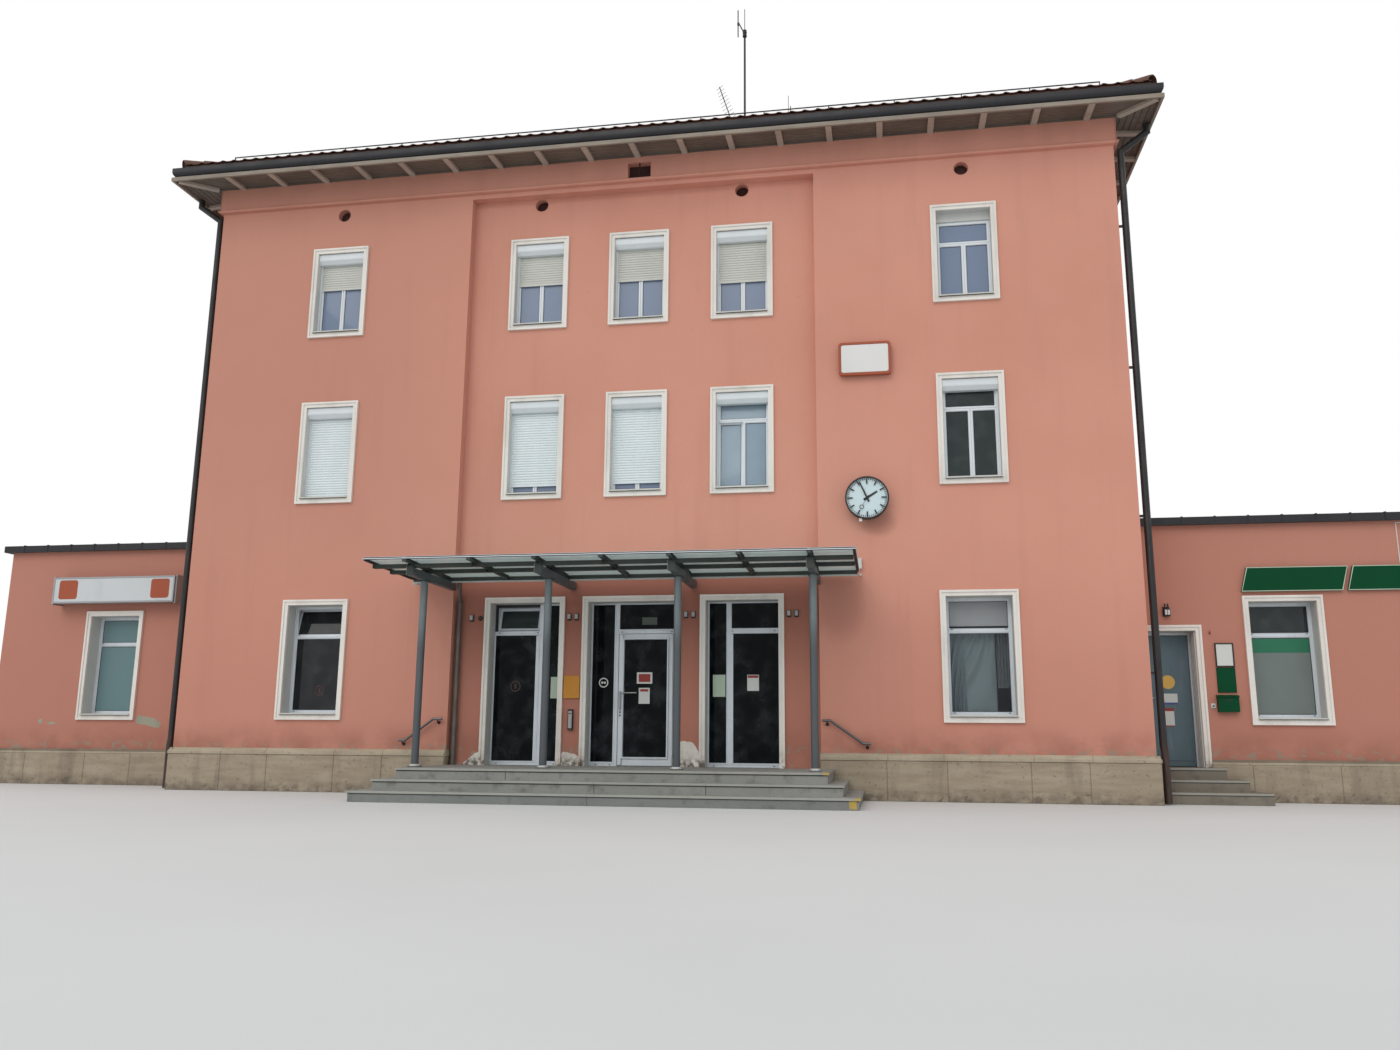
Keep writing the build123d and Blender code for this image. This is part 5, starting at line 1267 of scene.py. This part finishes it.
def wing_fittings():
    """Lamp, notice boards, letter box and bell beside the wing's door, and a field on the wall."""
    wall = WING_Y
    small = Shape()
    small.boxes(wall, (
        (1, 8.494, 8.601, -0.008, 0.0, 2.885, 3.04), (1, 8.500, 8.595, -0.100, -0.008, 2.890, 3.000),
        (0, 8.509, 8.543, -0.1025, -0.099, 2.905, 2.985), (0, 8.552, 8.586, -0.1025, -0.099, 2.905, 2.985),
        (3, 9.168, 9.192, -0.035, 0.0, 2.600, 2.622),
        (0, 9.250, 9.497, -0.020, -0.001, 2.091, 2.438), (2, 9.235, 9.512, -0.018, 0.0, 1.676, 2.066),
        (2, 9.206, 9.513, -0.095, 0.0, 1.372, 1.610), (1, 9.300, 9.420, -0.098, -0.094, 1.545, 1.560),
        (0, 9.114, 9.179, -0.020, 0.0, 1.433, 1.507), (1, 9.134, 9.160, -0.024, -0.019, 1.450, 1.476),
    ))
    for x in (8.525, 8.570):
        small.bar((x, wall - 0.055, 2.998), (x, wall - 0.055, 3.060), 0.010, 10, 1)
        small.bar((x, wall - 0.055, 3.058), (x - 0.01, wall - 0.055, 3.092), 0.016, 10, 1, 0.006)
    small.bar((9.18, wall - 0.030, 2.622), (9.18, wall - 0.030, 2.655), 0.006, 8, 3)
    section = [(0.0, wall), (0.0, wall - 0.030), (0.016, wall - 0.030), (0.020, wall - 0.020), (0.020, wall)]
    small.frame(9.235, 9.512, 2.076, 2.453, section, mark=1)
    small.frame(9.235, 9.512, 1.676, 2.066, strip(0.0, 0.008, wall - 0.021, wall - 0.017), mark=2)
    small.frame(12.07, 13.40, 3.69, 4.34, strip(0.0, 0.014, wall - 0.006, wall))
    lid = [(0.0, 1.600), (-0.110, 1.600), (-0.114, 1.612), (-0.02, 1.640), (0.0, 1.640)]
    small.run([(wall + out, z) for out, z in lid], 9.198, 9.521, mark=2)
    looks = "notice_paper dark_fitting green_board notice_red"
    small.piece("wing_wall_fittings", looks, "white_plastic", bevel=0.0015)


def window_films():
    """Film with a green band behind the front windows of the right wing."""
    film = Shape()
    for w in WINDOWS:
        if w.tag == "RW":
            x0, x1, z0, z1, _ = w.lights()[0]
            y = w.front + 0.0215
            film.box(x0 + 0.010, x1 - 0.010, y, y + 0.002, z0 + 0.010, z1 - 0.010, w.place)
            film.box(x0 + 0.012, x1 - 0.012, y - 0.002, y + 0.001, z1 - 0.235, z1 - 0.012, w.place, 1)
    film.piece("window_film", "window_film window_green", "glass")


def wing_roof_edges():
    """The sheet-metal edge of the flat roofs, with its seams."""
    seams, edge = Shape(), Shape()
    step = 0.505
    for start, end in ((8.365, 14.80), (-12.35, -8.0)):
        for i in range(int((end - start) / step) + 1):
            x = start + step * i
            for place, at in ((None, x), (turned(0, DEPTH, 180), -x)):
                seams.box(at - 0.010, at + 0.010, 1.130, 1.140, 4.370, 4.488, place)
                seams.box(at - 0.012, at + 0.012, 1.130, 1.196, 4.484, 4.497, place)
    seams.piece("roof_edge_seams", "gutter_metal", "zinc")
    # An upright sheet and a flat lap on top of it run along the front, the back and the end.
    low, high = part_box("wing_roof_edges")
    front, back, top = 1.136, 9.864, 4.486
    for x0, x1 in ((HALF, high[0]), (low[0], -HALF)):
        for wide, bottom in ((0.004, 4.364), (0.085, 4.4805)):
            end = (x1 - wide, x1) if x0 > 0 else (x0, x0 + wide)
            edge.box(x0, x1, front, front + wide, bottom, top)
            edge.box(x0, x1, back - wide, back, bottom, top)
            edge.box(*end, front + wide, back - wide, bottom, top)
    edge.piece("wing_roof_edge_metal", "gutter_metal", "zinc", instead=("wing_roof_edges",))


def rail_brackets():
    """Wall roses and bent brackets that carry the handrails."""
    shape = Shape()
    for x, z in ((-3.19, 1.195), (-3.785, 0.848), (3.165, 1.195), (3.77, 0.848)):
        low = z - 0.058
        shape.disc((x, 0.0, low), 0.024, 0.027, -0.007, -0.001, 20)
        shape.bar((x, -0.002, low), (x, -0.052, low), 0.010)
        shape.bar((x, -0.050, low), (x, -0.083, z - 0.012), 0.010)
    shape.piece("rail_brackets", "dark_fitting", "handrail_metal")


# Doors

# Depths of a sheet stuck on a door leaf and of the fields printed on it.
SHEET = (-0.0015, 0.0005)
PRINT = (-0.0022, -0.001)
# The same for sheets on glass, measured from their own front.
NOTICE = (0.0, 0.001)
FIELD = (-0.0006, 0.0004)
WING_LEAF_Y = 1.560
FIXED_PANES = (
    (-2.438, -1.660, 0.512, 2.610), (-1.600, -1.252, 0.512, 3.108),
    (-0.743, -0.345, 0.512, 3.108), (-0.285, 0.684, 2.670, 3.108),
    (1.225, 1.533, 0.512, 3.108), (1.593, 2.388, 0.512, 2.610), (1.593, 2.388, 2.670, 3.108),
)
PANE_FRONT = 0.4275
HOPPER = (-2.390, -1.660, 2.670, 3.060)
LEAF_PANE = (-0.202, 0.553, 0.590, 2.527)
STILE_X = -0.239
LEVER_Z = 1.637


def wing_door():
    """Blank stickers, kick line and lever on the leaf of the wing's door."""
    y = WING_LEAF_Y
    leaf, handle = Shape(), Shape()
    leaf.disc((8.571, y, 1.855), 0.109, 0.109, *SHEET, 40, mark=1)
    leaf.boxes(y, (
        (0, 8.418, 8.701, *SHEET, 1.499, 1.671), (2, 8.424, 8.470, *PRINT, 1.596, 1.664),
        (2, 8.418, 8.701, *PRINT, 1.499, 1.530), (0, 8.449, 8.633, *SHEET, 1.149, 1.440),
        (3, 8.449, 8.633, *PRINT, 1.392, 1.440), (3, 8.449, 8.633, *PRINT, 1.149, 1.166),
        (4, 8.198, 8.900, *SHEET, 0.606, 0.612),
    ))
    looks = "notice_paper sticker_yellow sticker_blue notice_red gasket"
    leaf.piece("wing_door_stickers", looks, "door_paint", "wing_door")
    handle.box(8.214, 8.250, y - 0.008, y, 1.46, 1.68)
    handle.bar((8.232, y - 0.006, 1.60), (8.232, y - 0.048, 1.60), 0.009, 12)
    handle.bar((8.226, y - 0.044, 1.60), (8.345, y - 0.044, 1.60), 0.009, 12)
    handle.disc((8.232, y - 0.010, 1.505), 0.011, 0.011, -0.002, 0.003, 20)
    handle.piece("wing_door_lever", "bare_steel", "steel", "wing_door", bevel=0.001)


def entrance():
    """Beads, gaskets and panes of the entrances, with a tilted vent light and painted shade strips in the gap
    round it.
    """
    beads, gaskets, panes = Shape(), Shape(), Shape()
    section = [(-0.010, 0.4295), (-0.008, 0.422), (0.010, 0.422), (0.016, 0.429), (0.0, 0.4295)]
    for rect in FIXED_PANES:
        beads.frame(*rect, section)
        gaskets.frame(*rect, strip(0.013, 0.021, 0.4265, 0.4280))
        panes.box(*rect[:2], PANE_FRONT, 0.4296, *rect[2:])
    # Dark strips beside and above the tilted vent light: painted shade in the gap round it.
    gaskets.box(-2.446, -2.393, 0.4280, 0.4297, 2.664, 3.116)
    gaskets.box(-2.393, -1.664, 0.4280, 0.4297, 3.063, 3.116)
    for x0, x1 in ((-1.712, -1.672), (1.603, 1.632)):
        beads.box(x0, x1, DOOR_Y - 0.008, 0.4295, 0.530, 2.590)
    tilt = tilted(Matrix(), DOOR_Y + 0.045, HOPPER[2], 13)
    sash = [(0.0, 0.426), (0.0, 0.474), (0.038, 0.474), (0.038, 0.440), (0.032, 0.426)]
    beads.frame(*inset(HOPPER, 0.003), sash, tilt)
    light = inset(HOPPER, 0.038)
    gaskets.frame(*light, strip(0.0, 0.010, 0.446, 0.452), tilt)
    panes.box(*light[:2], 0.450, 0.466, *light[2:], tilt, 1)
    # Dark drain slots in the bottom rails and the transoms.
    for xs, z in (
        ((-2.34, -1.35, -0.64, -0.40, 1.32, 2.29), 0.480), ((-2.36, -1.69, -0.23, 0.61, 1.62, 2.31), 2.640)
    ):
        gaskets.boxes(DOOR_Y, [(0, x - 0.014, x + 0.014, -0.0015, 0.002, z - 0.006, z + 0.006) for x in xs])
    beads.piece("entrance_beads", "aluminium", "frame_metal", bevel=0.001)
    gaskets.piece("entrance_gaskets_and_painted_shade", "gasket", "frame_metal")
    panes.piece("entrance_glazing", "door_glass dark_glass", "glass", instead=("entrance_panes",))


def entrance_leaf():
    """Beads, gaskets and lever of the leaf that opens."""
    beads, gaskets, lever = Shape(), Shape(), Shape()
    section = [
        (-0.010, 0.405), (-0.008, 0.401), (0.012, 0.401), (0.018, 0.415), (0.018, 0.457), (-0.010, 0.457)
    ]
    beads.frame(*LEAF_PANE, section)
    gaskets.frame(*LEAF_PANE, strip(0.017, 0.026, 0.450, 0.4575))
    beads.box(-0.268, -0.211, 0.4035, 0.4055, 0.480, 2.594)
    gaskets.box(-0.2095, -0.2065, 0.4030, 0.4055, 0.480, 2.594)
    beads.piece("entrance_leaf_beads", "aluminium", "frame_metal", "entrance_door", bevel=0.001)
    gaskets.piece("entrance_leaf_gaskets", "gasket", "frame_metal", "entrance_door")
    lever.bar((STILE_X, 0.372, LEVER_Z), (0.030, 0.372, LEVER_Z), 0.011, 14)
    lever.bar((0.030, 0.372, LEVER_Z), (0.042, 0.372, LEVER_Z), 0.011, 14, 0, 0.007)
    lever.disc((STILE_X, 0.358, 1.400), 0.010, 0.014, -0.006, 0.0, 16)
    for z in (1.270, 1.322):
        lever.disc((STILE_X, 0.405, z), 0.011, 0.016, -0.006, 0.0, 20, mark=1)
    lever.piece("entrance_lever", "bare_steel gasket", "steel", "entrance_door")


def notices():
    """Blank notices on the entrances' glass and on the left ground-floor window."""
    notes, leaf = Shape(), Shape()
    y = PANE_FRONT - 0.0013
    window_y = 0.2745
    notes.boxes(y, (
        (1, -1.437, -1.322, *NOTICE, 1.548, 1.901), (4, -2.066, -2.036, *NOTICE, 1.705, 1.789),
        (3, 0.108, 0.360, *NOTICE, 2.756, 2.879), (1, 1.300, 1.504, *NOTICE, 1.575, 1.929),
        (0, 1.862, 2.052, *NOTICE, 1.670, 1.927), (2, 1.870, 2.044, *FIELD, 1.878, 1.918),
    ))
    notes.boxes(window_y, [(4, -5.515, -5.485, *NOTICE, 1.630, 1.712)])
    notes.hoop((-2.051, y, 1.747), 0.072, 0.088, *NOTICE, 44, 4)
    notes.hoop((-5.500, window_y, 1.670), 0.070, 0.086, *NOTICE, 40, 4)
    notes.hoop((-0.531, y, 1.805), 0.062, 0.080, *NOTICE, 36)
    for x in (-0.553, -0.509):
        notes.disc((x, y, 1.805), 0.020, 0.020, *NOTICE, 20)
    looks = "notice_paper green_paper notice_red label_paper faint_red"
    notes.piece("door_notices", looks, "white_plastic")
    leaf.boxes(0.4465, (
        (0, 0.027, 0.287, *NOTICE, 1.788, 1.973), (1, 0.059, 0.255, *FIELD, 1.816, 1.946),
        (0, 0.063, 0.247, *NOTICE, 1.462, 1.720), (1, 0.086, 0.224, *FIELD, 1.660, 1.700),
    ))
    leaf.piece("leaf_notices", "notice_paper notice_red", "white_plastic", "entrance_door")


# Bare plaster and fittings of the walls

LAMP_SPOTS = (
    (-2.771, 2.869), (-1.073, 2.872), (-0.949, 2.871), (0.891, 2.887), (1.014, 2.886), (2.569, 2.886),
    (2.689, 2.885),
)
RECESS_PATCHES = (
    ((-2.855, 0.462), (-2.543, 0.462), (-2.543, 0.668), (-2.600, 0.655)),
    ((-1.147, 0.462), (-0.848, 0.462), (-0.850, 0.618), (-0.950, 0.655), (-1.119, 0.687), (-1.147, 0.66)),
    (
        (0.790, 0.462), (1.113, 0.462), (1.112, 0.700), (1.060, 0.790), (1.002, 0.849), (0.847, 0.868),
        (0.790, 0.845),
    ),
)
WING_PATCHES = (
    (
        (-9.66, 1.17), (-9.60, 1.262), (-9.45, 1.235), (-9.28, 1.205), (-9.13, 1.11), (-9.17, 1.03),
        (-9.30, 1.05), (-9.44, 1.085), (-9.60, 1.10),
    ),
    ((-11.70, 1.16), (-11.62, 1.19), (-11.60, 1.11), (-11.68, 1.09)),
    ((-11.52, 1.12), (-11.40, 1.14), (-11.30, 1.10), (-11.44, 1.08)),
)


def bare_patches(name, look, y, outlines, rng):
    """Thin patches with ragged edges on a wall, each through its (x, z) points."""
    shape = Shape()
    for points in outlines:
        edge = []
        for (xa, za), (xb, zb) in zip(points, points[1:] + points[:1]):
            count = max(1, int(math.hypot(xb - xa, zb - za) / 0.035))
            for i in range(count):
                t = i / count
                jog = 0.007 if i else 0.0
                x = xa + (xb - xa) * t + rng.uniform(-jog, jog)
                z = za + (zb - za) * t + rng.uniform(-jog, jog)
                edge.append((x, max(LANDING + 0.002, z)))
        shape.loft([[(x, depth, z) for x, z in edge] for depth in (y - 0.002, y + 0.001)])
    shape.piece(name, look, "trim")


def bare_walls():
    """Bare plaster on the walls, with lamps, yellow plate and letter slot between the doors."""
    rng = random.Random(21)
    bare_patches("bare_plaster_recess", "trim_paint", RECESS_Y, RECESS_PATCHES, rng)
    wall = RECESS_Y
    small = Shape()
    plate(small, (-1.132, -0.865, 1.539, 1.906), wall - 0.034, 0.034, 0.022, mark=1)
    small.boxes(wall, (
        (2, -1.041, -0.961, -0.060, 0.0, 1.032, 1.363), (3, -1.030, -0.972, -0.0625, -0.059, 1.060, 1.335),
        (2, -1.024, -0.978, -0.0645, -0.062, 1.285, 1.300),
    ))
    lamp = (
        (2, -0.035, 0.035, -0.012, 0.0, -0.058, 0.058), (3, -0.024, 0.024, -0.050, -0.012, -0.034, 0.046)
    )
    for x, z in LAMP_SPOTS:
        small.boxes(wall, lamp, x, z)
        small.bar((x - 0.012, wall - 0.031, z - 0.034), (x - 0.012, wall - 0.031, z - 0.056), 0.008, 8, 2)
    dome = [(PINHOLE, -0.030), (0.030, -0.026), (0.042, -0.004), (0.042, 0.0), (PINHOLE, 0.0)]
    small.turn((-2.622, wall, 2.867), dome, 24, mark=2)
    looks = "notice_paper yellow_plate dark_fitting sign_box"
    small.piece("recess_wall_fittings", looks, "white_plastic", bevel=0.002)
    bare_patches("bare_plaster_wing", "grey_plaster", WING_Y, WING_PATCHES, rng)


# Canopy

BARS = tuple(-3.045 + 1.015 * i for i in range(7))
PURLINS = (-1.720, -1.115)
CANOPY_FRONT = -2.0
CANOPY_TOP = 3.575
GLASS_UNDER = 3.561
GUTTER_FRONT = -0.22


def glass_under(y):
    return GLASS_UNDER - (y - CANOPY_FRONT) * math.tan(math.radians(1.5))


def canopy_glazing():
    """White edge strip and the dark seats of the glass."""
    z = CANOPY_TOP
    edge, seats = Shape(), Shape()
    profile = [
        (-2.0, z + 0.004), (-2.0, z - 0.026), (-1.994, z - 0.026), (-1.994, z - 0.004),
        (-1.965, z - 0.005), (-1.965, z + 0.003),
    ]
    edge.run(profile, -3.71, 3.71)
    edge.piece("canopy_edge_strip", "white_frames", "white_plastic")
    profile = [(-1.993, z - 0.026), (-1.993, z - 0.034), (-1.972, z - 0.034), (-1.972, z - 0.0145)]
    seats.run(profile, -3.705, 3.705)
    runs = [(x - 0.042, x + 0.042, -1.985, -0.26, 0.006) for x in BARS]
    runs += [(x, x + 0.042, -1.971, -0.24, 0.034) for x in (-3.704, 3.662)]
    for x0, x1, near, far, thick in runs:
        rings = []
        for y in (near, far):
            top = glass_under(y)
            rings.append([(x0, y, top - thick), (x1, y, top - thick), (x1, y, top), (x0, y, top)])
        seats.loft(rings)
    seats.piece("canopy_glass_seats", "gasket", "steel_paint")


def canopy_steel():
    """Clamps, brackets, purlin lips and end plates."""
    steel = Shape()
    for x in BARS:
        steel.box(x - 0.032, x + 0.032, -1.990, -1.955, 3.508, 3.553)
        steel.box(x - 0.030, x + 0.030, -0.262, -0.222, 3.450, 3.505)
        for y in PURLINS:
            for side in (-1, 1):
                a, b = sorted((x + side * 0.0255, x + side * 0.0315))
                steel.box(a, b, y - 0.050, y + 0.050, 3.452, 3.535)
                for at in (y - 0.030, y + 0.030):
                    steel.bar((x + side * 0.031, at, 3.520), (x + side * 0.041, at, 3.520), 0.009, 6)
    for y in PURLINS:
        for edge in (y - 0.0335, y + 0.0275):
            steel.box(-3.66, 3.66, edge, edge + 0.006, 3.4475, 3.455)
            steel.box(-3.66, 3.66, edge, edge + 0.006, 3.497, 3.5045)
        for x in (-3.664, 3.660):
            steel.box(x, x + 0.004, y - 0.030, y + 0.030, 3.4475, 3.5045)
    for x in COLUMN_X:
        steel.box(x - 0.054, x + 0.054, -1.757, -1.7495, 3.325, 3.480)
        steel.box(x - 0.078, x + 0.078, COLUMN_Y - 0.075, COLUMN_Y + 0.075, 3.308, 3.3195)
        for at_x in (x - 0.062, x + 0.062):
            for at_y in (COLUMN_Y - 0.058, COLUMN_Y + 0.058):
                steel.bar((at_x, at_y, 3.298), (at_x, at_y, 3.309), 0.009, 6)
    steel.piece("canopy_brackets", "canopy_steel", "steel_paint", bevel=0.001)


def canopy_fittings():
    """Pale gutter and end parts, column collars, bolts and the rings of the drain pipe."""
    pale, bolts, rings = Shape(), Shape(), Shape()
    cuts = [-3.68, *COLUMN_X, 3.68]
    for a, b in zip(cuts, cuts[1:]):
        left = a + (0.046 if a in COLUMN_X else 0.0)
        right = b - (0.046 if b in COLUMN_X else 0.0)
        pale.box(left, right, GUTTER_FRONT - 0.004, GUTTER_FRONT + 0.006, 3.420, 3.4475)
        pale.box(left, right, GUTTER_FRONT + 0.006, -0.11, 3.440, 3.4465)
    pale.box(-3.69, -3.60, -0.225, -0.115, 3.402, 3.4400)
    pale.box(3.683, 3.743, -0.085, 0.001, 3.557, 3.722)
    pale.box(3.700, 3.740, -0.050, 0.001, 3.444, 3.480)
    collar = [(0.057, 0.474), (0.082, 0.474), (0.078, 0.490), (0.057, 0.502)]
    for x in COLUMN_X:
        pale.box(x - 0.0565, x - 0.0535, -1.760, -1.7495, 3.325, 3.480)
        pale.turn((x, COLUMN_Y, 0), collar, 32, axis="Z")
        for at_x in (x - 0.068, x + 0.068):
            for at_y in (COLUMN_Y - 0.068, COLUMN_Y + 0.068):
                bolts.bar((at_x, at_y, 0.4735), (at_x, at_y, 0.486), 0.011, 6)
                bolts.bar((at_x, at_y, 0.486), (at_x, at_y, 0.497), 0.005, 8)
    pale.piece("canopy_pale_parts", "reveal_paint", "steel_paint", bevel=0.001)
    bolts.piece("column_bolts", "bare_steel", "steel")
    for z in (3.157, 1.084):
        rings.hoop((-2.972, 0.112, z), 0.0375, 0.045, -0.02, 0.02, 24, axis="Z")
        rings.box(-2.979, -2.965, 0.155, 0.182, z - 0.012, z + 0.012)
    rings.piece("canopy_pipe_rings", "canopy_drain_paint", "steel_paint")


# Attic vents and aerials

VENT_Z = 10.3
VENT_RADIUS = 0.1175
MAST_X = 1.19
SMALL_AERIAL_X = 0.93
ROD_X = (2.197, 2.245)


def vents():
    """Rims and dark backs of the round vents, and the back of the small attic opening; the dark backs are
    painted shade inside the openings.
    """
    shape = Shape()
    for x, face in ((-5.525, 0.0), (5.525, 0.0), (-1.81, RECESS_Y), (1.81, RECESS_Y)):
        shape.hoop((x, face, VENT_Z), VENT_RADIUS, 0.129, -0.003, 0.001, 44)
        # Dark disc behind each vent: painted shade inside it.
        shape.disc((x, face + 0.13, VENT_Z), VENT_RADIUS, VENT_RADIUS, 0.0, 0.008, 44, mark=1)
        shape.box(x - 0.070, x + 0.070, face + 0.095, face + 0.129, 10.205, 10.228, mark=2)
    shape.box(0.017, 0.033, -0.030, 0.000, 10.571, 10.859, mark=1)
    # Dark board behind the small attic opening: painted shade inside it.
    shape.box(-0.179, 0.229, 0.10, 0.108, 10.571, 10.859, mark=1)
    shape.piece("attic_vents", "wall_render vent_dark reveal_paint", "render")


def aerials():
    """Dipole head of the mast, a small aerial with cross rods and lightning rods on the ridge."""
    y = MIDDLE
    foot = roof_height(y) + 0.02
    shape = Shape()
    for k in range(4):
        z = 17.04 + 0.045 * k
        shape.bar((MAST_X, y, z), (MAST_X, y, z + 0.030), 0.050 - 0.004 * (k % 2), 14)
    shape.boxes(y, (
        (0, 1.150, 1.205, -0.040, 0.040, 17.06, 17.19), (0, 1.015, 1.065, -0.020, 0.020, 17.36, 17.42),
        (0, 0.905, 0.955, -0.022, 0.022, 14.73, 14.80),
    ))
    for xa, za, xb, zb, radius, sides in (
        (1.165, 17.16, 1.055, 17.40, 0.014, 10), (1.033, 17.05, 1.033, 17.75, 0.013, 10),
        (SMALL_AERIAL_X, foot, SMALL_AERIAL_X, 14.98, 0.017, 12), (ROD_X[0], foot, ROD_X[0], 15.42, 0.006, 8),
        (ROD_X[1], foot, ROD_X[1], 15.15, 0.009, 8),
    ):
        shape.bar((xa, y, za), (xb, y, zb), radius, sides)
    start, end = Vector((SMALL_AERIAL_X, y, 14.76)), Vector((0.596, y, 15.80))
    shape.bar(start, end, 0.011)
    way = (end - start).normalized()
    side = Vector((way.z, 0, -way.x)).normalized()
    lean = Vector((0, 0.05, 0.0))
    for k in range(11):
        at = start + (end - start) * (0.12 + 0.086 * k)
        reach = 0.135 - 0.005 * k
        shape.bar(at - side * reach + lean, at + side * reach - lean, 0.0045, 6)
    for x in (*ROD_X, SMALL_AERIAL_X, MAST_X):
        shape.bar((x, y, foot - 0.03), (x, y, foot + 0.045), 0.036, 12, 0, 0.026)
    shape.piece("aerial_rods", "dark_fitting", "steel")


dress_nodes()
camera()
floor()
light()
plinths()
roof()
soffit()
windows()
linings()
shutters()
curtains()
clock()
station_sign()
wing_signs()
wing_fittings()
wing_roof_edges()
window_films()
rail_brackets()
wing_door()
entrance()
entrance_leaf()
notices()
bare_walls()
canopy_glazing()
canopy_steel()
canopy_fittings()
vents()
aerials()

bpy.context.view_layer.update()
